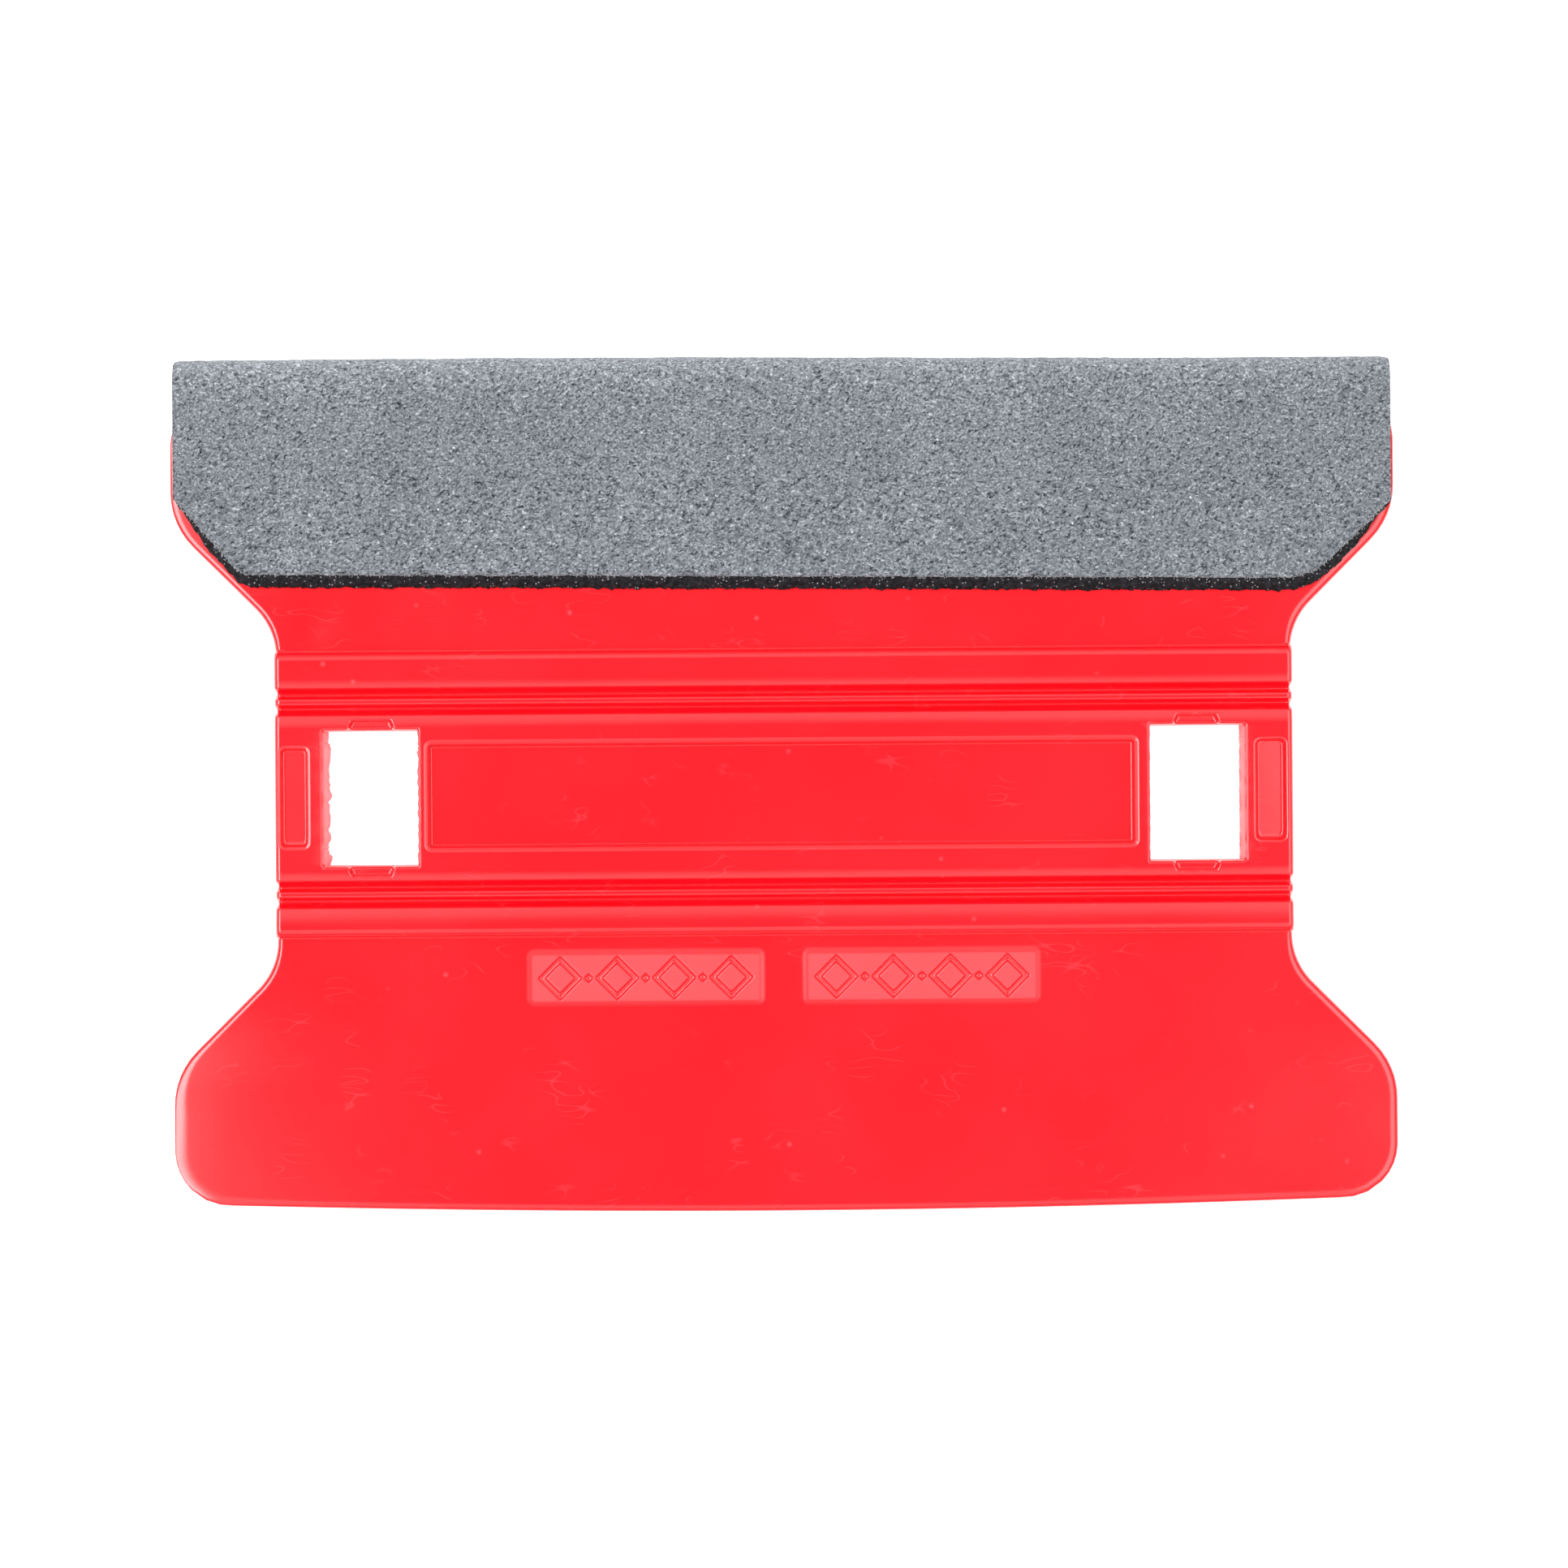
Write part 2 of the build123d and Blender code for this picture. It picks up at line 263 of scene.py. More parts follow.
@dataclass(frozen=True)
class Outline:
    """The card's I-shaped outline, in millimetres about its centre.

    Attributes:
        lobe: Half the width across the blades.
        reach: Half the length from working edge to working edge.
        waist: Half the width across the grip block.
        bow: How far a working edge bows out between its corners.
        corner: The radius of the blades' corners.
        shoulder_start: Where the blades' straight sides end, towards the waist.
        shoulder: The radius from a blade's side into its slanting flank.
        waist_reach: Half the length of the waist's straight sides.
        hollow: The radius from the waist into the flank.
        turn: How far the flank leans, in radians.
    """

    lobe: float
    reach: float
    waist: float = 63.2
    bow: float = 1.15
    corner: float = 6.8
    shoulder_start: float = 38.2
    shoulder: float = 9.7
    waist_reach: float = 17.6
    hollow: float = 8.6
    turn: float = math.pi / 4

    def inset(self, by: float) -> "Outline":
        """The outline moved inwards by a distance, with its arcs about the same centres."""
        return Outline(self.lobe - by, self.reach - by, self.waist - by, self.bow, self.corner - by,
                       self.shoulder_start, self.shoulder - by, self.waist_reach, self.hollow + by, self.turn)

    @property
    def corner_y(self) -> float:
        """How far up the centre of a blade's corner arc lies."""
        return self.reach - self.bow - self.corner

    @property
    def top_y(self) -> float:
        """How far up the middle of a blade's corner arc lies, where the sides meet the working edge."""
        return self.corner_y + self.corner * math.sin(self.turn)

    @property
    def top_x(self) -> float:
        """How far out the middle of a blade's corner arc lies."""
        return self.lobe - self.corner * (1 - math.cos(self.turn))

    def side(self, y: np.ndarray) -> tuple[np.ndarray, np.ndarray]:
        """Half the width at each height, as straight stretches and arcs, and how fast it grows with |y|.

        Args:
            y: Heights, from the middle of one pair of corner arcs to the other.

        Returns:
            The half-widths and their slopes.
        """
        a = np.abs(y)
        hollow_end = self.waist_reach + self.hollow * math.sin(self.turn)
        flank_x = self.waist + self.hollow * (1 - math.cos(self.turn))
        flank_end = self.shoulder_start - self.shoulder * math.sin(self.turn)
        flank_out = self.lobe - self.shoulder * (1 - math.cos(self.turn))
        flank_slope = (flank_out - flank_x) / (flank_end - hollow_end)
        in_hollow = np.sqrt(np.maximum(self.hollow**2 - (a - self.waist_reach) ** 2, 1e-6))
        in_shoulder = np.sqrt(np.maximum(self.shoulder**2 - (self.shoulder_start - a) ** 2, 1e-6))
        in_corner = np.sqrt(np.maximum(self.corner**2 - (a - self.corner_y) ** 2, 1e-6))
        ends = (self.waist_reach, hollow_end, flank_end, self.shoulder_start, self.corner_y)
        where = [a < end for end in ends]
        width = np.select(where, [
            np.full_like(a, self.waist),
            self.waist + self.hollow - in_hollow,
            flank_x + (a - hollow_end) * flank_slope,
            self.lobe - self.shoulder + in_shoulder,
            np.full_like(a, self.lobe),
        ], self.lobe - self.corner + in_corner)
        slope = np.select(where, [
            np.zeros_like(a),
            (a - self.waist_reach) / in_hollow,
            np.full_like(a, flank_slope),
            (self.shoulder_start - a) / in_shoulder,
            np.zeros_like(a),
        ], -(a - self.corner_y) / in_corner)
        return width, slope

    def end(self, x: np.ndarray) -> tuple[np.ndarray, np.ndarray]:
        """Height of the working edge at each place across, a shallow bow between two arcs, and its slope.

        Args:
            x: Places across, between the middles of the two corner arcs.

        Returns:
            The heights and their slopes against x.
        """
        straight = self.lobe - self.corner
        bow_radius = (straight**2 + self.bow**2) / (2 * self.bow)
        out = np.maximum(np.abs(x) - straight, 0.0)
        in_corner = np.sqrt(np.maximum(self.corner**2 - out**2, 1e-6))
        bowed = np.sqrt(bow_radius**2 - np.minimum(np.abs(x), straight) ** 2)
        height = self.reach - bow_radius + bowed - (self.corner - in_corner)
        slope = np.where(np.abs(x) < straight, -x / bowed, -np.sign(x) * out / in_corner)
        return height, slope


@dataclass(frozen=True)
class Rail:
    """A rail of the grip block: a valley with two soft lips and a thin bead along its middle.

    Attributes:
        middle: How far the valley's middle lies from the block's middle line.
        lips: How far the upper rail's lips reach from the valley's middle, towards +Y and towards -Y.
        low_lips: The same for the lower rail.
        brow: How far from the valley's middle its lips turn down into its steep walls.
        gutter: How far from the valley's middle its two gutters run.
        depth: How deep the gutters are.
        start: The slope at which a lip leaves the block's top.
        finish: The slope at which a lip meets the steep wall.
        crest: Half the width of the bead's crown.
        crown: How far the crown falls from the bead's middle to its flanks.
        bead_top: How far below the block's top the bead's middle lies.
    """

    middle: float = 11.95
    lips: tuple[float, float] = (2.85, 3.25)
    low_lips: tuple[float, float] = (2.8, 3.95)
    brow: float = 1.72
    gutter: float = 0.85
    depth: float = 1.75
    start: float = 0.055
    finish: float = 0.19
    crest: float = 0.34
    crown: float = 0.03
    bead_top: float = 0.6

    def dip(self, y: np.ndarray) -> np.ndarray:
        """How far the surface drops at a height.

        A lip's slope grows evenly from its rim to its brow. From there a straight wall goes down to the
        gutter, another comes up to the bead, and the bead's crown is a parabola.
        """
        off = np.where(y > 0, y - self.middle, y + self.middle)
        north = np.where(y > 0, self.lips[0], self.low_lips[0])
        south = np.where(y > 0, self.lips[1], self.low_lips[1])
        rim = np.where(off > 0, north, south)
        width = rim - self.brow
        inward = np.clip(rim - np.abs(off), 0.0, width)
        lip = self.start * inward + (self.finish - self.start) * inward**2 / (2 * width)
        whole = width * (self.start + self.finish) / 2
        side = self.bead_top + self.crown
        inner = np.where(np.abs(off) < self.crest, self.bead_top + self.crown * (off / self.crest) ** 2, side)
        flank = np.clip((np.abs(off) - self.crest) / (self.gutter - self.crest), 0.0, 1.0)
        inner = inner + (self.depth - side) * flank
        wall = np.clip((self.brow - np.abs(off)) / (self.brow - self.gutter), 0.0, 1.0)
        outer = lip + (self.depth - whole) * wall
        return np.where(np.abs(off) < self.gutter, inner, outer)


@dataclass(frozen=True)
class Sunken:
    """A sunken rectangle with bevelled lips and steep walls.

    Attributes:
        x: Where its middle lies along X.
        y: Where its middle lies along Y.
        half_x: Half its length.
        half_y: Half its height.
        depth: How deep it is.
        bevel: How deep the bevel of its lip is.
        lean: How far the bevel leans from level, in radians.
        tilt: How fast its floor falls towards +X.
        top: The radius at the bevel's upper side.
        foot: The radius at the foot of the bevel and of the wall.
        wall_lean: How far the wall leans from level, in radians.
        corner: The radius of its corners.
    """

    x: float
    y: float
    half_x: float
    half_y: float
    depth: float
    bevel: float = 0.26
    lean: float = math.radians(27)
    tilt: float = 0.0
    top: float = 0.25
    foot: float = 0.06
    wall_lean: float = math.radians(80)
    corner: float = 0.9

    def dip(self, x: np.ndarray, y: np.ndarray) -> np.ndarray:
        """How far the surface drops: rounded steps across bevel and wall, and the floor's even fall."""
        inside = -rectangle_distance(x - self.x, y - self.y, self.half_x, self.half_y, self.corner)
        bevel = rounded_step(inside, self.bevel, self.top, self.foot, self.lean)
        reach = self.bevel / math.tan(self.lean) + self.foot
        wall = rounded_step(inside - reach, self.depth - self.bevel, self.foot, self.foot, self.wall_lean)
        fall = self.tilt * (x - self.x) * smooth(inside / 0.5)
        return bevel + wall + fall


@dataclass(frozen=True)
class Window:
    """A window through the grip block, with a ledge at the middle of each level lip.

    Attributes:
        x: How far out its middle lies.
        half_x: Half its width.
        half_y: Half its height.
        lip: The radius of its lip along the outer upright edge.
        inner_lip: The same along the inner upright edge.
        end_lip: The radius of its lips along the level edges.
        ledge_half: Half the length of a ledge at the window's lip.
        ledge_rise: How far a ledge reaches from the lip.
        ledge_depth: How deep a ledge is.
        draft: How far the walls lean in at the mould's parting line.
        flash: How far the thin flash at the parting line reaches in, at most, on the worn side.
        painted_highlight_reach: How far the painted highlight reaches from an outer upright edge.
        burr: How high the burr on the ledges' rims is, at most.
        burr_width: How far the burr spreads.
        trim: How far the worn side's upright edges wander.
    """

    x: float = 51.2
    half_x: float = 5.8
    half_y: float = 8.5
    lip: float = 0.7
    inner_lip: float = 0.3
    end_lip: float = 0.3
    ledge_half: float = 2.9
    ledge_rise: float = 1.15
    ledge_depth: float = 0.9
    draft: float = 0.16
    flash: float = 0.42
    painted_highlight_reach: float = 0.5
    burr: float = 0.16
    burr_width: float = 0.13
    trim: float = 0.11

    def distance(self, x: np.ndarray, y: np.ndarray) -> np.ndarray:
        """Signed distance to the nearer window's edge."""
        return rectangle_distance(np.abs(x) - self.x, y, self.half_x, self.half_y, 0.0)

    def ledge_distance(self, x: np.ndarray, y: np.ndarray) -> np.ndarray:
        """Rough signed distance to the nearest ledge, a trapezoid with slanted ends: negative inside."""
        out = np.abs(np.abs(x) - self.x)
        rise = np.maximum(np.abs(y) - self.half_y, 0.0)
        slant = (out - self.ledge_half + 0.5 * rise) / math.hypot(1.0, 0.5)
        return np.maximum(slant, rise - self.ledge_rise)

    def dip(self, x: np.ndarray, y: np.ndarray) -> np.ndarray:
        """How far the surface drops at the ledges, with a ragged burr along their rims, and over the lips.

        The lip is an arc of the distance to the window, and the burr is a ridge of random height.
        """
        ledge = self.ledge_distance(x, y)
        rim = smooth((np.abs(y) - self.half_y - self.ledge_rise + 0.35) / 0.2)
        rough = np.maximum(ripple(x, y, 0.8, 31), 0.0)
        burr = np.exp(-((ledge / self.burr_width) ** 2)) * rough * self.burr * rim
        upright = np.where(np.abs(x) > self.x, self.lip, self.inner_lip)
        radius = np.where(np.abs(y) < self.half_y, upright, self.end_lip)
        near = np.clip(0.93 - self.distance(x, y) / radius, 0.0, 1.0)
        lip = radius * (1.0 - np.sqrt(1.0 - near**2))
        return rounded_step(0.15 - ledge, self.ledge_depth, 0.12, 0.05, math.radians(80)) - burr + lip

    def painted_highlight(self, x: np.ndarray, y: np.ndarray) -> np.ndarray:
        """How strong the painted highlight on the upright edges' lips is: an exponential of the distance,
        wider on the outer ones.
        """
        reach = np.where(np.abs(x) > self.x, self.painted_highlight_reach, 0.45 * self.painted_highlight_reach)
        reach = reach * (1.0 + 0.25 * ripple(0.3 * x, y, 1.6, 19))
        upright = smooth((self.half_y - np.abs(y) + 0.1) / 0.6)
        return 0.9 * np.exp(-np.maximum(self.distance(x, y), 0.0) / reach) * upright

    def ragged(self, x: np.ndarray, y: np.ndarray) -> np.ndarray:
        """How far a point near a window's upright edge moves along X, as if the edge were hand-trimmed."""
        near = np.exp(-((self.distance(x, y) / 0.3) ** 2)) * smooth((self.half_y - np.abs(y)) / 0.8)
        worn = np.where(x < 0, 1.0, 0.35)
        return self.trim * worn * near * (ripple(x * 0.2, y, 1.1, 17) + 0.6 * ripple(x * 0.2, y, 0.45, 18))


@dataclass(frozen=True)
class MarkPatches:
    """Two slightly sunken matte patches on the lower blade, each with a row of open diamonds and small dots.

    Attributes:
        middles: Where the patches' middles lie along X.
        y: Where their middles lie along Y.
        half_x: Half a patch's length.
        half_y: Half a patch's height.
        depth: How deep a patch is.
        pitch: The distance from diamond to diamond.
        diamonds: How many diamonds a patch holds.
        radius: How far a diamond's stroke lies from its middle, measured to its corners.
        stroke: Half the stroke's width, measured the same way.
        dot: How far a dot reaches from its middle.
        cut: How deep the strokes and dots are cut.
        wall: How wide the slope at the side of a stroke is.
        vein: How high the thin ridge along the middle of a stroke is.
        vein_width: How far that ridge spreads.
        dull: How dull a patch's surface is.
    """

    middles: tuple[float, float] = (-17.4, 17.0)
    y: float = -22.6
    half_x: float = 15.1
    half_y: float = 3.8
    depth: float = 0.1
    pitch: float = 7.1
    diamonds: int = 4
    radius: float = 2.3
    stroke: float = 0.62
    dot: float = 0.75
    cut: float = 0.32
    wall: float = 0.46
    vein: float = 0.035
    vein_width: float = 0.11
    dull: float = 0.45

    def shape(self, x: np.ndarray, y: np.ndarray) -> tuple[np.ndarray, np.ndarray]:
        """How far the surface drops and how matte it is.

        A stroke is a groove with a thin bell-shaped ridge along its middle, at a fixed distance from the
        nearest diamond's middle when distances are measured as |x| + |y|.

        Args:
            x: Places across.
            y: Places up.

        Returns:
            The drop, and the patches' dullness, which is 0 off them.
        """
        drop, matte = np.zeros_like(x), np.zeros_like(x)
        last = (self.diamonds - 1) / 2
        for middle in self.middles:
            px, py = x - middle, y - self.y
            inside = smooth(-rectangle_distance(px, py, self.half_x, self.half_y, 1.2) / 1.1)
            step = np.clip(np.round(px / self.pitch + last), 0, self.diamonds - 1) - last
            ring = np.abs(np.abs(px - step * self.pitch) + np.abs(py) - self.radius)
            gap = np.clip(np.round(px / self.pitch), -(last - 0.5), last - 0.5)
            spot = np.abs(px - gap * self.pitch) + np.abs(py)
            in_stroke = smooth((self.stroke - ring) / self.wall)
            groove = np.maximum(in_stroke, smooth((self.dot - spot) / self.wall))
            vein = np.exp(-((np.minimum(ring, spot) / self.vein_width) ** 2))
            drop += self.depth * inside + self.cut * groove - self.vein * vein
            matte += self.dull * inside * (1.0 - smooth(4.0 * groove))
        return drop, matte


@dataclass
class MouldedCard:
    """The moulded card: two tapered blades and a waisted grip block, in one closed shell.

    Attributes:
        outline: The card's outline.
        grip_half: Half the grip block's thickness.
        root_half: Half a blade's thickness at the block.
        edge_half: Half a blade's thickness at its working edge.
        block_ends: How far the block's flat top reaches towards +Y and towards -Y.
        flank_top: The radius over the block's flank.
        flank_foot: The radius at the foot of its flank.
        flank_lean: How far its flank leans from level, in radians.
        inset: How far inside the outline the two faces end and their rims start.
        block_rim: The rim's radius along the block.
        rim_drop: How far the rim's rounding drops at most.
        rim_steps: How many steps the rim has.
        window_band: Which band of the grid holds the windows.
        ease: How far the left and the right lobes fall away at their sides.
        dent: How deep the dent beside the pad's left corner is.
        nick: How deep the waist's sides are nicked beside the rails' beads.
    """

    outline: Outline
    grip_half: float
    root_half: float = 1.05
    edge_half: float = 0.6
    block_ends: tuple[float, float] = (17.1, 16.2)
    flank_top: float = 1.15
    flank_foot: float = 0.02
    flank_lean: float = math.radians(84)
    inset: float = 1.8
    block_rim: float = 0.62
    rim_drop: float = 0.8
    rim_steps: int = 14
    window_band: int = 3
    ease: tuple[float, float] = (0.56, 0.08)
    dent: float = 0.1
    nick: float = 0.22
    rail: Rail = Rail()
    panel: Sunken = Sunken(-0.3, 0.2, 44.35, 6.95, 1.1)
    pockets: tuple[Sunken, Sunken] = (
        Sunken(-60.75, 0.1, 2.0, 6.45, 0.8, 0.14, math.radians(23), -0.03),
        Sunken(60.35, 0.3, 2.1, 6.5, 0.8, 0.12, math.radians(27), 0.058),
    )
    window: Window = Window()
    marks: MarkPatches = MarkPatches()

    def blade(self, a: np.ndarray) -> np.ndarray:
        """Half a blade's thickness at a distance from the card's middle line: a straight taper."""
        start = self.block_ends[0]
        share = np.maximum(a - start, 0.0) / (self.outline.reach - start)
        return self.root_half - (self.root_half - self.edge_half) * share

    def warp(self, x: np.ndarray, y: np.ndarray) -> np.ndarray:
        """The slight unevenness of a moulding: soft ripples, eased lobes and one shallow dent.

        The lobes' faces fall away towards their sides as an exponential of the distance to them, and the
        ripples are two sums of sine waves.
        """
        side = self.outline.lobe - np.abs(x)
        lobe = smooth((np.abs(y) - 24.0) / 12.0)
        ease = np.where(x < 0, *self.ease) * np.exp(-side / 9.0) * lobe
        dent = self.dent * np.exp(-(((x + 58.5) / 1.8) ** 2) - ((y - 22.3) / 3.4) ** 2)
        return 0.014 * ripple(x, y, 30.0, 5) + 0.0035 * ripple(x, y, 7.0, 6) - ease - dent

    def height(self, x: np.ndarray, y: np.ndarray, marked: bool) -> tuple[np.ndarray, np.ndarray]:
        """Height of a face above the card's middle plane, without its rim, and how matte it is, with the
        windows' painted highlight.

        It is the block's top, which falls by a rounded step to the blades' taper, less the dips of the rails,
        panel, pockets, ledges and marks.

        Args:
            x: Places across.
            y: Places up.
            marked: Adds the mark patches.

        Returns:
            The heights, and the matte values between 0 and 1, which near the windows also carry the painted
            highlight.
        """
        past = np.where(y > 0, y - self.block_ends[0], -y - self.block_ends[1])
        blade = self.blade(np.abs(y))
        rise = self.grip_half - self.root_half
        flank = rounded_step(past, rise, self.flank_top, self.flank_foot, self.flank_lean)
        on_block = self.rail.dip(y) + self.window.dip(x, y) + self.panel.dip(x, y)
        on_block = on_block + self.pockets[0].dip(x, y) + self.pockets[1].dip(x, y)
        top = np.where(past > 0, self.grip_half - flank - self.root_half + blade, self.grip_half - on_block)
        top = top + self.warp(x, y)
        # Painted highlight: the windows' edge lips get pale values, which the material turns pale pink.
        painted_highlight = self.window.painted_highlight(x, y)
        if not marked:
            return top, painted_highlight
        drop, matte = self.marks.shape(x, y)
        return top - drop, np.maximum(matte, painted_highlight)

    def columns(self, marked: bool) -> tuple[np.ndarray, np.ndarray, np.ndarray]:
        """Places of the grid's columns, as shares of the half-width.

        Args:
            marked: True for the finer grid of the marked face.

        Returns:
            The columns of the plain bands, of the middle band with its windows, and of the mark band. The
            last two hold all of the first.
        """
        inner = self.outline.inset(self.inset)
        left, right = self.window.x - self.window.half_x, self.window.x + self.window.half_x
        crown, heel = self.window.x - self.window.ledge_half, self.window.x + self.window.ledge_half
        plain = spaced((0.0, 42.0, 3.0), (42.0, left, left - 42.0), (left, right, 2.9),
                       (right, inner.waist, 1.1))
        wall = 0.14 if marked else 0.4
        fine = spaced((0.0, 42.6, 3.0), (42.6, left, wall), (left, crown - 0.6, 0.8),
                      (crown - 0.6, heel + 0.6, 0.24), (heel + 0.6, right, 0.8), (right, 59.9, wall),
                      (59.9, inner.waist, 0.5))
        marks = spaced((0.0, 2.0, 0.4), (2.0, 32.6, 0.17))
        plain, fine = both_sides(plain), both_sides(fine)
        fine = np.unique(np.concatenate([plain, fine]))
        band = np.unique(np.concatenate([plain, both_sides(marks)]))
        return plain / inner.waist, fine / inner.waist, band / inner.waist

    def bands(self, marked: bool) -> list[tuple[np.ndarray, np.ndarray]]:
        """The grid's bands from the lower edge up, each as its rows' heights and its columns."""
        plain, fine, band = self.columns(marked)
        top = self.outline.inset(self.inset).top_y
        middle = both_sides(spaced((0.0, 5.7, 0.43), (5.7, 7.25, 0.12), (7.25, 8.0, 0.38), (8.0, 8.5, 0.125),
                                   (8.5, 9.9, 0.14)))
        rail = spaced((10.0, 15.2, 0.12), (15.2, 16.2, 0.33), (16.2, 17.41, 0.11), (17.41, 17.53, 0.02),
                      (17.53, 18.3, 0.13), (18.3, 18.44, 0.02), (18.44, 18.6, 0.16))
        blade = ((27.4, 36.0, 0.9), (36.6, top, 0.8))
        flank = spaced((18.8, 20.0, 0.2), (20.0, 26.8, 0.45), *blade)
        marks = spaced((18.8, 20.0, 0.2), (20.0, 25.2, 0.13), (25.2, 26.6, 0.2))
        below = spaced((26.8, 27.4, 0.6), *blade)
        return [
            (-below[::-1], plain),
            (-marks[::-1], band if marked else plain),
            (-rail[::-1], plain),
            (middle, fine),
            (rail, plain),
            (flank, plain),
        ]

    def place(self, share: np.ndarray, row: np.ndarray) -> tuple[np.ndarray, np.ndarray]:
        """Where grid points lie: rows are level across the card and lift to the bowed edge near its ends.

        Args:
            share: Places across, as shares of the half-width.
            row: The rows' heights.

        Returns:
            X and Y, as rows of columns.
        """
        inner = self.outline.inset(self.inset)
        width, _ = inner.side(row)
        edge, _ = inner.end(share * inner.top_x)
        lift = smooth((np.abs(row) - inner.top_y + 12.0) / 12.0)
        x = width[:, None] * share[None, :]
        y = row[:, None] + (np.sign(row) * lift)[:, None] * (edge - inner.top_y)[None, :]
        return x + self.window.ragged(x, y), y

    def face(self, shell: Shell, up: bool, marked: bool) -> tuple[np.ndarray, list[np.ndarray]]:
        """Adds one face of the card as bands of quads.

        Args:
            shell: The shell to add to.
            up: True for the upper face.
            marked: Adds the mark patches.

        Returns:
            The indices round the face, and round each window, all counter-clockwise from above.
        """
        side = 1.0 if up else -1.0
        bands = self.bands(marked)
        grids, shares = [], []
        for row, share in bands:
            x, y = self.place(share, row)
            z, matte = self.height(x, y, marked)
            grids.append(shell.add(x, y, side * z, matte))
            shares.append(share)
        holes = []
        for number, (index, share) in enumerate(zip(grids, shares)):
            if number == self.window_band:
                keep, holes = self.open_windows(index, share, bands[number][0])
                shell.grid(index, not up, keep)
            else:
                shell.grid(index, not up)
        for lower, upper, at_lower, at_upper in zip(grids[:-1], grids[1:], shares[:-1], shares[1:]):
            shell.stitch(lower[-1], at_lower, upper[0], at_upper, not up)
        right = np.concatenate([index[:, -1] for index in grids])
        left = np.concatenate([index[:, 0] for index in grids])
        loop = np.concatenate([grids[0][0][:-1], right[:-1], grids[-1][-1][:0:-1], left[:0:-1]])
        return loop, holes

    def open_windows(self, index: np.ndarray, share: np.ndarray, row: np.ndarray) -> tuple[np.ndarray, list]:
        """Which cells of the middle band to keep, and the loop of points round each window."""
        across = share * self.outline.inset(self.inset).waist
        near = 1e-4
        rows = np.flatnonzero(np.abs(row) <= self.window.half_y + near)
        keep = np.ones((len(row) - 1, len(share) - 1), bool)
        loops = []
        for side in (-1.0, 1.0):
            inside = np.abs(across - side * self.window.x) <= self.window.half_x + near
            cols = np.flatnonzero(inside)
            keep[rows[0]:rows[-1], cols[0]:cols[-1]] = False
            loops.append(np.concatenate([
                index[rows[0], cols[:-1]], index[rows[:-1], cols[-1]],
                index[rows[-1], cols[:0:-1]], index[rows[:0:-1], cols[0]],
            ]))
        return keep, loops

    def edge_frame(self) -> tuple[np.ndarray, np.ndarray, np.ndarray]:
        """Outward directions round the card, in the order of the loop that face() gives, and the nicks.

        Returns:
            The directions along X and along Y, and how deep the waist's sides are nicked at each point.
        """
        inner = self.outline.inset(self.inset)
        bands = self.bands(False)
        row = np.concatenate([rows for rows, _ in bands])
        width, slope = inner.side(row)
        share = bands[0][1]
        _, edge_slope = inner.end(share * inner.top_x)
        long_side = np.hypot(1.0, slope)
        side_x, side_y = 1.0 / long_side, -np.sign(row) * slope / long_side
        long_end = np.hypot(1.0, edge_slope)
        end_x, end_y = -edge_slope / long_end, 1.0 / long_end
        off = (np.abs(np.abs(row) - self.rail.middle) - 1.15) / 0.35
        nick = self.nick * np.exp(-(off**2)) * (width < inner.waist + 1.0)
        none = np.zeros(len(share) - 1)
        return (
            np.concatenate([end_x[:-1], side_x[:-1], end_x[:0:-1], -side_x[:0:-1]]),
            np.concatenate([-end_y[:-1], side_y[:-1], end_y[:0:-1], side_y[:0:-1]]),
            np.concatenate([none, nick[:-1], none, nick[:0:-1]]),
        )

    def rim_rings(self, shell: Shell, loop: np.ndarray, up: bool, marked: bool) -> list[np.ndarray]:
        """Adds the rim of one face as rings that go out to the outline and down a quarter ellipse.

        Args:
            shell: The shell to add to.
            loop: The face's outer points.
            up: True for the upper face.
            marked: As the face was made.

        Returns:
            The rings' indices, from the face outwards, with the face's own loop first.
        """
        side = 1.0 if up else -1.0
        out_x, out_y, nick = self.edge_frame()
        start = np.concatenate(shell.points)[loop]
        radius = self.rim_radius(start[:, 0], start[:, 1])
        rings = [loop]
        for step in range(1, self.rim_steps + 1):
            turn = 0.5 * math.pi * step / self.rim_steps
            out = self.inset * math.sin(turn)
            over = np.clip((out - self.inset + radius) / radius, 0.0, 1.0)
            move = out - nick * over**2
            x, y = start[:, 0] + out_x * move, start[:, 1] + out_y * move
            level, _ = self.height(x, y, marked)
            drop = np.minimum(self.rim_drop, 0.85 * level) * (1.0 - np.sqrt(1.0 - over**2))
            rings.append(shell.add(x, y, side * (level - drop)))
        return rings

    def rim_radius(self, x: np.ndarray, y: np.ndarray) -> np.ndarray:
        """How wide the rim's rounding is: tight on the block, and widest on the lower left lobe."""
        a = np.abs(y)
        left = (y < 0.0) * smooth((-x - 60.0) / 12.0) * smooth((a - 31.0) / 9.0) * smooth((51.5 - a) / 6.0)
        blade = 0.8 + 0.95 * left + 0.2 * smooth((x - 30.0) / 30.0)
        on_blade = smooth((a - 17.0) / 6.0)
        return self.block_rim + (blade - self.block_rim) * on_blade

    def build(self, centre: np.ndarray) -> bpy.types.Object:
        """Builds the card: two faces, their rims, a parting line between them and the windows' walls."""
        shell = Shell()
        top_loop, top_holes = self.face(shell, True, True)
        base_loop, base_holes = self.face(shell, False, False)
        top_rings = self.rim_rings(shell, top_loop, True, True)
        base_rings = self.rim_rings(shell, base_loop, False, False)
        out_x, out_y, nick = self.edge_frame()
        start = np.concatenate(shell.points)[top_loop]
        out = self.inset + 0.03 - nick
        parting = shell.add(start[:, 0] + out_x * out, start[:, 1] + out_y * out, 0.0)
        shell.skirt(top_rings + [parting] + base_rings[::-1])
        for upper, lower in zip(top_holes, base_holes):
            shell.skirt([upper, *self.window_rings(shell, upper), lower], turned=True)
        return shell.to_piece("moulded_card", centre, "worn")

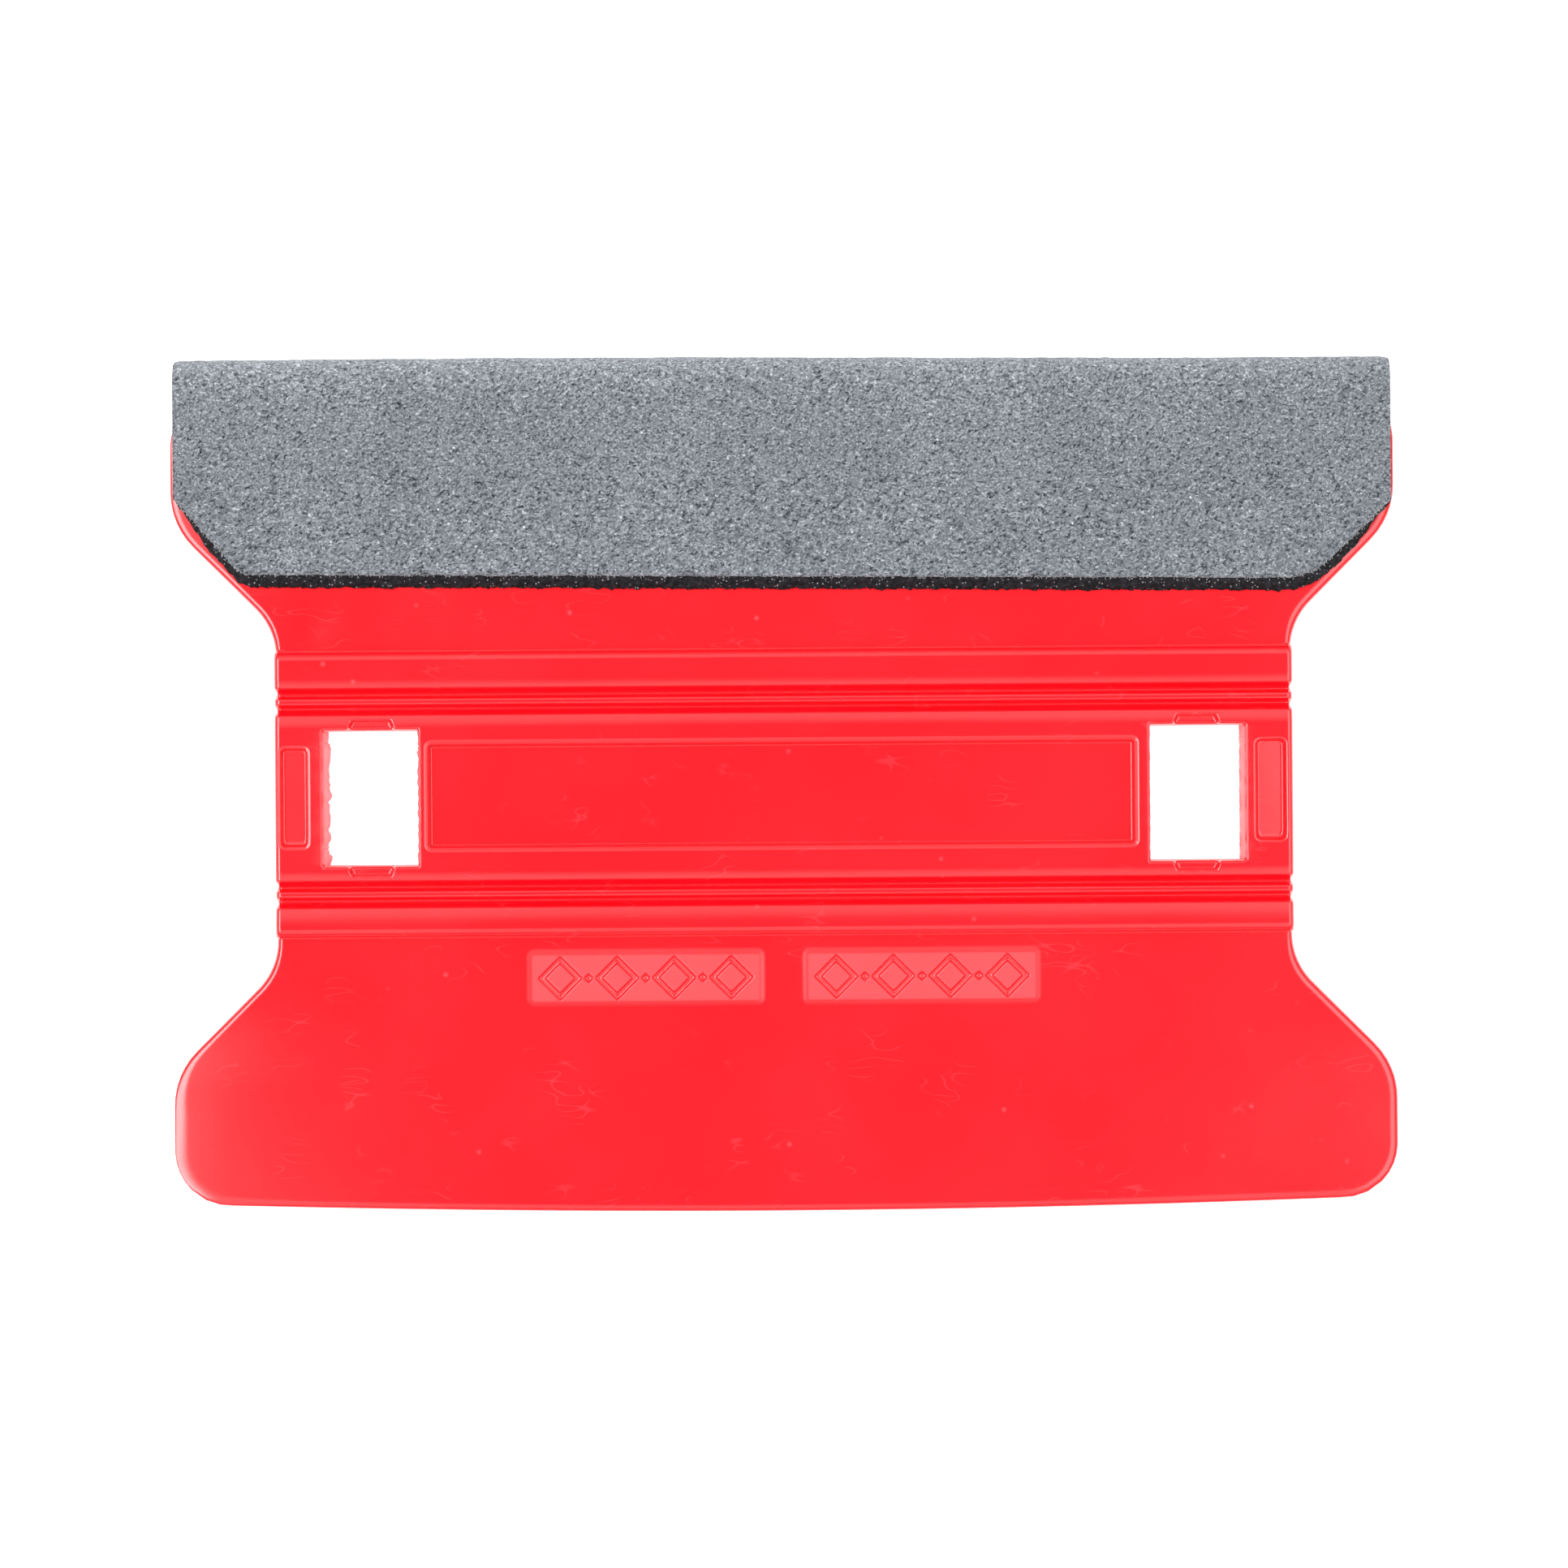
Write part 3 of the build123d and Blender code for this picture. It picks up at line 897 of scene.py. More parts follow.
    def window_rings(self, shell: Shell, loop: np.ndarray) -> list[np.ndarray]:
        """Adds rings down a window's wall, which leans in to a thin ragged flash at the parting line."""
        start = np.concatenate(shell.points)[loop]
        side = np.sign(start[:, 0].mean())
        px, py = start[:, 0] - side * self.window.x, start[:, 1]
        in_x = -np.sign(px) * (np.abs(px) > self.window.half_x - 0.3)
        in_y = -np.sign(py) * (np.abs(py) > self.window.half_y - 0.01)
        worn = np.where((side < 0) & (px < 0), 1.0, 0.25)
        rough = 0.45 + 0.6 * ripple(start[:, 0] * 0.1, py, 2.4, 41) + 0.3 * ripple(px, py, 0.7, 42)
        rough = np.clip(rough, 0, 1)
        flash = worn * self.window.flash * rough
        levels = ((1.9, 0.35, 0.0), (0.3, 0.9, 0.1), (0.07, 1.0, 1.0), (-0.07, 1.0, 1.0), (-0.3, 0.9, 0.1),
                  (-1.9, 0.35, 0.0))
        rings = []
        for z, lean, thin in levels:
            move = self.window.draft * lean + flash * thin
            # Painted highlight on the wall: pale values, strongest on the trimmed left side.
            painted_highlight = 0.35 + 0.65 * worn * (0.6 + 0.4 * rough)
            rings.append(shell.add(start[:, 0] + in_x * move, py + in_y * self.window.draft * lean, z, painted_highlight))
        return rings


# ---------------------------------------------------------------------------------------------------------
# The folded pad
# ---------------------------------------------------------------------------------------------------------


@dataclass(frozen=True)
class PadCut:
    """The die-cut outline of the pad, in millimetres about the card's centre.

    Attributes:
        half: Half the pad's width.
        left_y: Height of the lower side at its left end.
        right_y: Height of the lower side at its right end.
        left_cut: How far the left corner's cut runs in and up.
        right_cut: How far the right corner's cut runs in and up.
        rounding: How softly the lower side turns into the cuts.
        fold_y: Height of the fold's outer line at its middle.
        fold_fall: How fast that line falls towards +X.
        fold_wave: How far it waves.
        wave_length: The length of that wave.
    """

    half: float = 75.6
    left_y: float = 27.9
    right_y: float = 26.4
    left_cut: tuple[float, float] = (8.4, 9.6)
    right_cut: tuple[float, float] = (10.2, 9.8)
    rounding: float = 1.3
    fold_y: float = 54.52
    fold_fall: float = 0.0038
    fold_wave: float = 0.12
    wave_length: float = 140.0

    def lower(self, x: np.ndarray) -> np.ndarray:
        """Height of the lower side: the highest of the side and the two slanting cuts, with eased corners."""
        side = self.left_y + (self.right_y - self.left_y) * (x + self.half) / (2 * self.half)
        left = self.left_y + self.left_cut[1] * (1 - (x + self.half) / self.left_cut[0])
        right = self.right_y + self.right_cut[1] * (1 - (self.half - x) / self.right_cut[0])
        edge = side
        for cut, ease in ((left, self.rounding), (right, 2.2 * self.rounding)):
            near = np.maximum(ease - np.abs(edge - cut), 0.0) / ease
            edge = np.maximum(edge, cut) + near * near * ease / 4
        return edge

    def in_cut(self, x: np.ndarray) -> np.ndarray:
        """How far along a corner's cut a place lies: 0 on the lower side and 1 at the pad's upright side."""
        left = 1 - (x + self.half) / self.left_cut[0]
        right = 1 - (self.half - x) / self.right_cut[0]
        return np.clip(np.maximum(left, right), 0.0, 1.0)

    def fold(self, x: np.ndarray) -> np.ndarray:
        """Height of the fold's outer line, which runs slightly downhill to the right with a soft wave."""
        wave = np.cos(2 * math.pi * (x + 20.0) / self.wave_length)
        return self.fold_y - self.fold_fall * x + self.fold_wave * wave


@dataclass(frozen=True)
class FoldedLayer:
    """One layer of the pad: a band of even thickness that goes down the blade's upper face, round the
    working edge and back up the lower face.

    Attributes:
        card: The card that it is folded over.
        cut: The pad's outline.
        under: How far the layer's inner side lies from the blade's surface.
        over: How far its outer side lies from it.
        pad: The whole pad's thickness.
    """

    card: MouldedCard
    cut: PadCut
    under: float
    over: float
    pad: float

    def section(self, x: np.ndarray, off: np.ndarray, low: np.ndarray, share: np.ndarray) -> tuple:
        """Points of the layer's folded section.

        The path follows the blade's taper from the lower side up to the fold's centre, then a half circle
        about that centre, and then the other face back. The share runs 0 to 1 along the upper face, 1 to 2
        round the fold and 2 to 3 back.

        Args:
            x: Places along the pad, one for each column.
            off: Distance from the blade's surface, for each row and column.
            low: Height of the layer's lower side at each column.
            share: Where the rows lie along the path, one for each row.

        Returns:
            Y and Z of each row and column.
        """
        edge_half = float(self.card.blade(np.array(self.card.outline.reach)))
        centre = self.cut.fold(x) - edge_half - self.pad
        flat = np.clip(np.where(share < 1.5, share, 3.0 - share), 0.0, 1.0)[:, None]
        turn = math.pi * np.clip(share - 1.0, 0.0, 1.0)[:, None]
        side = np.where(share < 1.5, 1.0, -1.0)[:, None]
        y = low + (centre - low) * flat
        level = self.card.blade(np.minimum(y, self.card.outline.reach)) + off
        round_it = (share > 1.0) & (share < 2.0)
        radius = edge_half + off
        arc_y = centre + radius * np.sin(turn)
        arc_z = radius * np.cos(turn)
        return np.where(round_it[:, None], arc_y, y), np.where(round_it[:, None], arc_z, side * level)


def layer_shares(flat_rows: int, fold_rows: int) -> np.ndarray:
    """Where the rows of a folded layer lie along its path, closer together towards its cut edges."""
    flat = np.linspace(0.0, 1.0, flat_rows) ** 1.25
    turn = np.linspace(1.0, 2.0, fold_rows)[1:-1]
    return np.concatenate([flat, turn, 3.0 - flat[::-1]])


def close_layer(shell: Shell, outer: np.ndarray, inner: np.ndarray, cut: list[np.ndarray]) -> None:
    """Joins a layer's outer and inner grids and the walls between their borders.

    Args:
        shell: The shell that holds the points.
        outer: The outer side's indices, as rows from the upper face's lower side round to the other one.
        inner: The inner side's indices, in the same order.
        cut: Index rows of the cut wall, first along the upper face's cut edge and then along the other's,
            each set from the outer side inwards.
    """
    shell.grid(outer)
    shell.grid(inner, turned=True)
    upper_cut, lower_cut = cut
    shell.grid(np.stack([outer[0], *upper_cut, inner[0]]), turned=True)
    shell.grid(np.stack([outer[-1], *lower_cut, inner[-1]]))
    for column, turned in ((0, True), (-1, False)):
        shell.grid(np.stack([outer[:, column], inner[:, column]]), turned=turned)
        for rows, end, flip in ((upper_cut, 0, turned), (lower_cut, -1, not turned)):
            wall = [outer[end][column], *[row[column] for row in rows], inner[end][column]]
            if len(wall) > 2:
                shell.faces.append([int(point) for point in (wall if flip else wall[::-1])])


@dataclass(frozen=True)
class FoamCore(FoldedLayer):
    """The pad's foam, whose slanting, torn cut edge shows past the suede.

    Attributes:
        margin: How far the cut edge slants out past the suede.
        grain: How rough the cut edge is.
        columns: How many columns its grid has.
    """

    margin: float = 1.45
    grain: float = 0.17
    columns: int = 620

    def build(self, centre: np.ndarray) -> bpy.types.Object:
        """Builds the foam: two folded sides and a rough cut wall of several rows between them.

        The wall bulges as a quarter of a circle and is moved by two sums of sine waves, coarse and fine.
        """
        shell = Shell()
        x = np.linspace(-self.cut.half, self.cut.half, self.columns)
        share = layer_shares(5, 11)
        low = self.cut.lower(x)
        in_cut = self.cut.in_cut(x)
        past = self.margin * (1.0 + 0.2 * in_cut) * (1.0 - smooth((in_cut - 0.45) / 0.55) * 0.85)
        tear = 0.5 * ripple(x, low, 1.6, 51) + 0.35 * ripple(x, low, 0.7, 52)
        y, z = self.section(x, np.full((1, len(x)), self.over), low - 0.12 * past, share)
        outer = shell.add(x, y, z)
        y, z = self.section(x, np.full((1, len(x)), self.under), low - past - self.grain * tear, share)
        inner = shell.add(x, y, z)
        walls = []
        for side in (1.0, -1.0):
            rows = []
            for step in np.linspace(0.0, 1.0, 9)[1:-1]:
                off = self.over - (self.over - self.under) * step
                bulge = math.sin(0.5 * math.pi * min(1.0, 1.15 * step))
                rough = ripple(x + 9.0 * side, 6.0 * step + 0.0 * x, 0.75, 53)
                rough = rough + 0.7 * ripple(x, 5.0 * step + low, 0.4, 54)
                row_y = low - past * (0.12 + 0.88 * bulge) - self.grain * (tear * bulge + 0.75 * rough)
                row_z = side * (self.card.blade(row_y) + off + 0.05 * rough)
                rows.append(shell.add(x, row_y, row_z))
            walls.append(rows)
        close_layer(shell, outer, inner, walls)
        return shell.to_piece("foam_pad", centre)


@dataclass(frozen=True)
class SuedeFace(FoldedLayer):
    """The pad's suede, folded with the foam.

    Attributes:
        columns: How many columns its grid has.
        face_length: Roughly how far it reaches up one face.
        droop: How far it sinks at its cut edges.
    """

    columns: int = 380
    face_length: float = 27.0
    droop: float = 0.22

    def build(self, centre: np.ndarray) -> bpy.types.Object:
        """Builds the suede: an outer side, uneven from the foam under it, and a plain inner side."""
        shell = Shell()
        x = np.linspace(-self.cut.half, self.cut.half, self.columns)
        share = layer_shares(46, 15)
        fray = 0.05 * ripple(x, 0.0 * x, 0.9, 61) + 0.04 * ripple(x, 0.0 * x, 2.6, 62)
        low = self.cut.lower(x) + fray
        along = share[:, None] * self.face_length + 0.0 * x
        across = x + 0.0 * along
        soft = 0.035 * ripple(across, along, 9.0, 63) + 0.022 * ripple(across, along, 2.2, 64)
        near_cut = np.exp(-np.minimum(share, 3.0 - share)[:, None] * self.face_length / 0.35)
        near_side = np.exp(-(self.cut.half - np.abs(x)) / 0.35)
        droop = self.droop * np.maximum(near_cut, near_side)
        y, z = self.section(x, self.over + soft - droop, low, share)
        outer = shell.add(x, y, z)
        y, z = self.section(x, np.full((1, len(x)), self.under), low, share)
        inner = shell.add(x, y, z)
        close_layer(shell, outer, inner, [[], []])
        return shell.to_piece("suede_cover", centre)

    def flat_cut(self) -> tuple[float, float, float]:
        """The suede's flat size and area in metres, from the pad's outline and the fold's length.

        Returns:
            The width, the length across the fold, and the area without the four cut corners.
        """
        edge_half = float(self.card.blade(np.array(self.card.outline.reach)))
        middle = 0.5 * (self.cut.left_y + self.cut.right_y)
        straight = self.cut.fold(np.array(0.0)) - edge_half - self.pad - middle
        length = 2 * float(straight) + math.pi * (edge_half + self.pad)
        corners = math.prod(self.cut.left_cut) + math.prod(self.cut.right_cut)
        width = 2 * self.cut.half
        return width * MM, length * MM, (width * length - corners) * MM * MM


@dataclass(frozen=True)
class SuedeFibres(FoldedLayer):
    """Loose fibres of the suede: short ones along its cut edge and longer curved ones that lie on its face.

    Attributes:
        fringe: How many stand along the cut edge.
        strays: How many lie on the face.
        thick: Half a fibre's thickness at its middle.
        joints: How many points a fibre's arc has.
        end_share: What share of the fringe stands along each slanting end.
        seed: Picks the fibres' places and shapes.
        top_y: How far up the strays reach.
    """

    fringe: int = 640
    strays: int = 380
    thick: float = 0.04
    joints: int = 5
    end_share: float = 0.16
    seed: int = 71
    top_y: float = 50.5

    def build(self, centre: np.ndarray) -> bpy.types.Object:
        """Builds the fibres as thin three-sided prisms along arcs, all worked out together.

        An arc starts at a random place, turns evenly along its length and keeps to the suede's surface. A
        fringe fibre droops over the cut edge, and a stray one lifts at its middle as a half sine wave.
        """
        rng = np.random.default_rng(self.seed)
        number = self.fringe + self.strays
        edge = np.arange(number) < self.fringe
        x = rng.uniform(-self.cut.half + 0.4, self.cut.half - 0.4, number)
        pick = rng.uniform(0.0, 1.0, number)
        x = np.where(edge & (pick < self.end_share), 0.4 - self.cut.half + rng.uniform(0, 8, number), x)
        x = np.where(edge & (pick > 1 - self.end_share), self.cut.half - 0.4 - rng.uniform(0, 10, number), x)
        low = self.cut.lower(x)
        at_edge = low + rng.uniform(0.05, 0.3, number)
        y = np.where(edge, at_edge, low + (self.top_y - low) * rng.uniform(0.02, 1.0, number))
        heading = np.where(edge, rng.normal(-0.5 * math.pi, 0.8, number), rng.normal(0.1, 0.5, number))
        length = np.where(edge, rng.uniform(0.2, 0.55, number), rng.uniform(0.7, 2.1, number))
        along = np.linspace(0.0, 1.0, self.joints)
        angle = heading[:, None] + rng.normal(0.0, 1.1, number)[:, None] * along
        px = x[:, None] + np.cumsum(np.cos(angle), 1) * length[:, None] / self.joints
        py = y[:, None] + np.cumsum(np.sin(angle), 1) * length[:, None] / self.joints
        lift = np.where(edge[:, None], 0.03 - 0.16 * along**2, 0.03 + 0.05 * np.sin(math.pi * along))
        pz = self.card.blade(py) + self.over + lift
        radius = self.thick * (1.0 - 0.6 * (2.0 * along - 1.0) ** 2)[None, :, None]
        round_it = 2.0 * math.pi * np.arange(3) / 3.0
        off = radius * np.cos(round_it)
        shell = Shell()
        ring_x = px[..., None] - np.sin(angle)[..., None] * off
        ring_y = py[..., None] + np.cos(angle)[..., None] * off
        index = shell.add(ring_x, ring_y, pz[..., None] + radius * np.sin(round_it))
        after = np.roll(index, -1, axis=2)
        shell.join(index[:, :-1], after[:, :-1], after[:, 1:], index[:, 1:])
        shell.join(index[:, 0, 0], index[:, 0, 2], index[:, 0, 1])
        shell.join(index[:, -1, 0], index[:, -1, 1], index[:, -1, 2])
        return shell.to_piece("suede_fibres", centre)


@dataclass(frozen=True)
class AdhesiveFilm(FoldedLayer):
    """The double-sided film between the blade and the foam.

    Attributes:
        columns: How many columns its grid has.
    """

    columns: int = 120

    def build(self, centre: np.ndarray) -> bpy.types.Object:
        """Builds the film: two plain folded sides, cut just short of the foam."""
        shell = Shell()
        x = np.linspace(-self.cut.half + 0.1, self.cut.half - 0.1, self.columns)
        share = layer_shares(10, 11)
        low = self.cut.lower(x) - 1.0 + 0.9 * self.cut.in_cut(x)
        grids = []
        for off in (self.over, self.under):
            y, z = self.section(x, np.full((1, len(x)), off), low, share)
            grids.append(shell.add(x, y, z))
        close_layer(shell, grids[0], grids[1], [[], []])
        return shell.to_piece("adhesive_layer", centre)


# ---------------------------------------------------------------------------------------------------------
# Finishes
# ---------------------------------------------------------------------------------------------------------


class NodeSketch:
    """Adds shader nodes to one node tree and links their sockets by name or number."""

    def __init__(self, tree: bpy.types.NodeTree) -> None:
        """Starts on a tree and clears it."""
        self.tree = tree
        tree.nodes.clear()

    def add(self, kind: str, inputs: dict | None = None, **settings: object) -> bpy.types.Node:
        """Adds a node.

        Args:
            kind: The node's type, without its ShaderNode prefix.
            inputs: Values or output sockets, by the input's name or number.
            **settings: The node's own settings.

        Returns:
            The new node.
        """
        node = self.tree.nodes.new("ShaderNode" + kind if not kind.startswith("Node") else kind)
        for name, value in settings.items():
            setattr(node, name, value)
        for key, value in (inputs or {}).items():
            socket = node.inputs[key]
            if isinstance(value, bpy.types.NodeSocket):
                self.tree.links.new(value, socket)
            else:
                socket.default_value = value
        return node

    def noise(self, at: bpy.types.NodeSocket, scale: float, detail: float = 2.0, rough: float = 0.5,
              twist: float = 0.0) -> bpy.types.NodeSocket:
        """A noise texture's value at a place, with scale in features for each metre."""
        values = {"Vector": at, "Scale": scale, "Detail": detail, "Roughness": rough, "Distortion": twist}
        return self.add("TexNoise", values).outputs[0]

    def span(self, value: bpy.types.NodeSocket, low: float, high: float, start: float = 0.0,
             end: float = 1.0) -> bpy.types.NodeSocket:
        """A value mapped in a straight line from low..high to start..end, and held there."""
        values = {"Value": value, "From Min": low, "From Max": high, "To Min": start, "To Max": end}
        return self.add("MapRange", values).outputs[0]

    def maths(self, operation: str, first: object, second: object = 0.0) -> bpy.types.NodeSocket:
        """One step of arithmetic on two values or sockets."""
        return self.add("Math", {0: first, 1: second}, operation=operation).outputs[0]

    def blend(self, factor: object, first: object, second: object, mode: str = "MIX") -> bpy.types.NodeSocket:
        """Two colours mixed by a factor."""
        values = {0: factor, 6: first, 7: second}
        return self.add("Mix", values, data_type="RGBA", blend_type=mode).outputs[2]

    def stretch(self, at: bpy.types.NodeSocket, scale: tuple, turn: float = 0.0) -> bpy.types.NodeSocket:
        """A place turned about Z and scaled, for streaks."""
        values = {"Vector": at, "Scale": scale, "Rotation": (0.0, 0.0, turn)}
        return self.add("Mapping", values).outputs[0]


def rgba(red: float, green: float, blue: float) -> tuple[float, float, float, float]:
    """A linear colour with full alpha."""
    return (red, green, blue, 1.0)


def make_group(name: str, inputs: dict[str, float], outputs: list[str]) -> tuple:
    """Starts a shader node group with a Place input, named number inputs and named value outputs.

    Args:
        name: The group's name.
        inputs: Default values of its number inputs, by name.
        outputs: Names of its value outputs.

    Returns:
        The group, its sketch, its input node and its output node.
    """
    group = bpy.data.node_groups.new(name, "ShaderNodeTree")
    group.interface.new_socket("Place", in_out="INPUT", socket_type="NodeSocketVector")
    for key, value in inputs.items():
        group.interface.new_socket(key, in_out="INPUT", socket_type="NodeSocketFloat").default_value = value
    for key in outputs:
        group.interface.new_socket(key, in_out="OUTPUT", socket_type="NodeSocketFloat")
    sketch = NodeSketch(group)
    return group, sketch, sketch.add("NodeGroupInput"), sketch.add("NodeGroupOutput")


def fleck_group() -> bpy.types.NodeTree:
    """Group Flecks: small bright points scattered over a surface, as the cores of random cells.

    Only cells whose random number passes the share are kept, and a fleck fades from its cell's core out.
    """
    group, sketch, given, made = make_group("Flecks", {"Scale": 800.0, "Share": 0.1, "Size": 0.2}, ["Mask"])
    cells = sketch.add("TexVoronoi", {"Vector": given.outputs["Place"], "Scale": given.outputs["Scale"]})
    pick = sketch.add("SeparateColor", {0: cells.outputs["Color"]}).outputs[0]
    kept = sketch.maths("LESS_THAN", pick, given.outputs["Share"])
    near = sketch.maths("DIVIDE", cells.outputs["Distance"], given.outputs["Size"])
    core = sketch.add("Math", {0: 1.0, 1: near}, operation="SUBTRACT", use_clamp=True).outputs[0]
    sketch.tree.links.new(sketch.maths("MULTIPLY", core, kept), made.inputs["Mask"])
    return group


def streak_group() -> bpy.types.NodeTree:
    """Group Streaks: short curved threads in three directions, from noise stretched along each of them."""
    inputs = {"Scale": 2000.0, "Length": 4.0, "Start": 0.5}
    group, sketch, given, made = make_group("Streaks", inputs, ["Tone"])
    place, scale = given.outputs["Place"], given.outputs["Scale"]
    bend = sketch.add("TexNoise", {"Vector": place, "Scale": scale, "Detail": 1.0}).outputs["Color"]
    shifted = sketch.add("VectorMath", {0: bend, 1: (0.5, 0.5, 0.5)}, operation="SUBTRACT").outputs[0]
    width = sketch.maths("DIVIDE", 1.4, scale)
    bent = sketch.add("VectorMath", {0: shifted, "Scale": width}, operation="SCALE").outputs[0]
    at = sketch.add("VectorMath", {0: place, 1: bent}, operation="ADD").outputs[0]
    squeeze = sketch.maths("DIVIDE", 1.0, given.outputs["Length"])
    total = None
    for turn in (0.1, 0.55, 2.6):
        size = sketch.add("CombineXYZ", {0: squeeze, 1: 1.0, 2: 1.0}).outputs[0]
        turned = sketch.stretch(at, (1.0, 1.0, 1.0), turn)
        long_way = sketch.add("VectorMath", {0: turned, 1: size}, operation="MULTIPLY").outputs[0]
        thread = sketch.add("TexNoise", {"Vector": long_way, "Scale": scale, "Detail": 1.5}).outputs[0]
        total = thread if total is None else sketch.maths("MAXIMUM", total, thread)
    past = sketch.maths("SUBTRACT", total, given.outputs["Start"])
    sketch.tree.links.new(sketch.span(past, 0.0, 0.16), made.inputs["Tone"])
    return group


def scratch_group() -> bpy.types.NodeTree:
    """Group Scratches: sparse fine lines, where stretched and bent noise crosses its middle value."""
    group, sketch, given, made = make_group("Scratches", {"Scale": 60.0, "Fineness": 0.012}, ["Mask"])
    place, scale = given.outputs["Place"], given.outputs["Scale"]
    total = None
    for turn, seed in ((0.5, 0.0), (1.25, 0.31), (2.6, 0.77)):
        shift = sketch.add("VectorMath", {0: place, 1: (seed, -seed, 0.0)}, operation="ADD").outputs[0]
        long_way = sketch.stretch(shift, (0.35, 1.0, 1.0), turn)
        line = sketch.add("TexNoise", {"Vector": long_way, "Scale": scale, "Detail": 0.0}).outputs[0]
        off = sketch.maths("ABSOLUTE", sketch.maths("SUBTRACT", line, 0.5))
        hair = sketch.add("Math", {0: 1.0, 1: sketch.maths("DIVIDE", off, given.outputs["Fineness"])},
                          operation="SUBTRACT", use_clamp=True).outputs[0]
        where = sketch.add("TexNoise", {"Vector": shift, "Scale": 160.0, "Detail": 1.0}).outputs[0]
        part = sketch.maths("MULTIPLY", hair, sketch.span(where, 0.64, 0.72))
        total = part if total is None else sketch.maths("MAXIMUM", total, part)
    sketch.tree.links.new(total, made.inputs["Mask"])
    return group


@dataclass
class Effects:
    """The shared surface effects, each built once."""

    flecks: bpy.types.NodeTree = field(default_factory=fleck_group)
    streaks: bpy.types.NodeTree = field(default_factory=streak_group)
    scratches: bpy.types.NodeTree = field(default_factory=scratch_group)


def use_group(sketch: NodeSketch, group: bpy.types.NodeTree, at: bpy.types.NodeSocket,
              values: dict[str, float]) -> bpy.types.NodeSocket:
    """Places a shared effect in a material with its own values, and gives its first output."""
    return sketch.add("Group", {"Place": at, **values}, node_tree=group).outputs[0]


@dataclass(frozen=True)
class Finish:
    """A finish with its main colour.

    Attributes:
        name: The material's name.
        colour: Its main colour, linear.
        roughness: Its usual roughness.
    """

    name: str
    colour: tuple[float, float, float, float]
    roughness: float

    def start(self) -> tuple[bpy.types.Material, NodeSketch, bpy.types.NodeSocket]:
        """A new material, its sketch and the piece's own coordinates."""
        material = bpy.data.materials.new(self.name)
        material.use_nodes = True
        sketch = NodeSketch(material.node_tree)
        place = sketch.add("TexCoord").outputs["Object"]
        return material, sketch, place

    def finish(self, sketch: NodeSketch, inputs: dict) -> None:
        """Adds the surface shader and the material's output."""
        shader = sketch.add("BsdfPrincipled", inputs)
        sketch.add("OutputMaterial", {"Surface": shader.outputs[0]})


@dataclass(frozen=True)
class GlossMoulding(Finish):
    """Glossy injection-moulded plastic with rubbed scratches, dust flecks, duller worn places and a painted
    pale highlight on the windows' edges and walls.

    Attributes:
        rubbed: The colour of scratches and flecks.
        painted_highlight: The colour of the painted highlight on the windows' edges and walls.
    """

    rubbed: tuple[float, float, float, float] = rgba(0.95, 0.075, 0.10)
    painted_highlight: tuple[float, float, float, float] = rgba(0.97, 0.42, 0.44)

    def build(self, effects: Effects) -> bpy.types.Material:
        """Makes the material."""
        material, sketch, place = self.start()
        # The worn value makes the mark patches and the cut window walls duller; near the windows it also lays
        # on the painted highlight.
        worn = sketch.add("Attribute", attribute_name="worn").outputs["Fac"]
        cloud = sketch.noise(place, 45.0, 3.0, 0.55)
        fine = sketch.noise(place, 420.0, 2.0, 0.5)
        flecks = use_group(sketch, effects.flecks, place, {"Scale": 260.0, "Share": 0.16, "Size": 0.12})
        scratches = use_group(sketch, effects.scratches, place, {"Scale": 750.0, "Fineness": 0.03})
        marks = sketch.maths("MAXIMUM", flecks, sketch.maths("MULTIPLY", scratches, 0.4))
        flow = sketch.noise(sketch.stretch(place, (0.12, 1.0, 1.0)), 900.0, 2.0, 0.55)
        toned = sketch.blend(sketch.span(cloud, 0.35, 0.65, 0.0, 0.3), self.colour, rgba(0.95, 0.009, 0.019))
        rubbed = sketch.blend(sketch.maths("MULTIPLY", marks, 0.5), toned, self.rubbed)
        # Painted highlight: the colour turns pale pink where the worn value is high, on the windows' edges
        # and walls.
        colour = sketch.blend(sketch.span(worn, 0.38, 1.0), rubbed, self.painted_highlight)
        smear = sketch.span(cloud, 0.4, 0.7, self.roughness, self.roughness + 0.05)
        rough = sketch.maths("ADD", smear, sketch.maths("MULTIPLY", marks, 0.2))
        rough = sketch.maths("ADD", rough, sketch.maths("MULTIPLY", worn, 0.55))
        sunk = sketch.maths("MULTIPLY", marks, -0.5)
        relief = sketch.maths("ADD", sketch.maths("MULTIPLY", fine, 0.5), sunk)
        relief = sketch.maths("ADD", relief, sketch.maths("MULTIPLY", flow, 0.4))
        bump = sketch.add("Bump", {"Height": relief, "Strength": 0.16, "Distance": 0.00006})
        gloss = sketch.span(worn, 0.0, 0.6, 1.0, 0.0)
        self.finish(sketch, {
            "Base Color": colour, "Roughness": rough, "Normal": bump.outputs[0], "IOR": 1.5,
            "Coat Weight": gloss, "Coat Roughness": 0.07, "Coat IOR": 1.5, "Coat Normal": bump.outputs[0],
        })
        return material


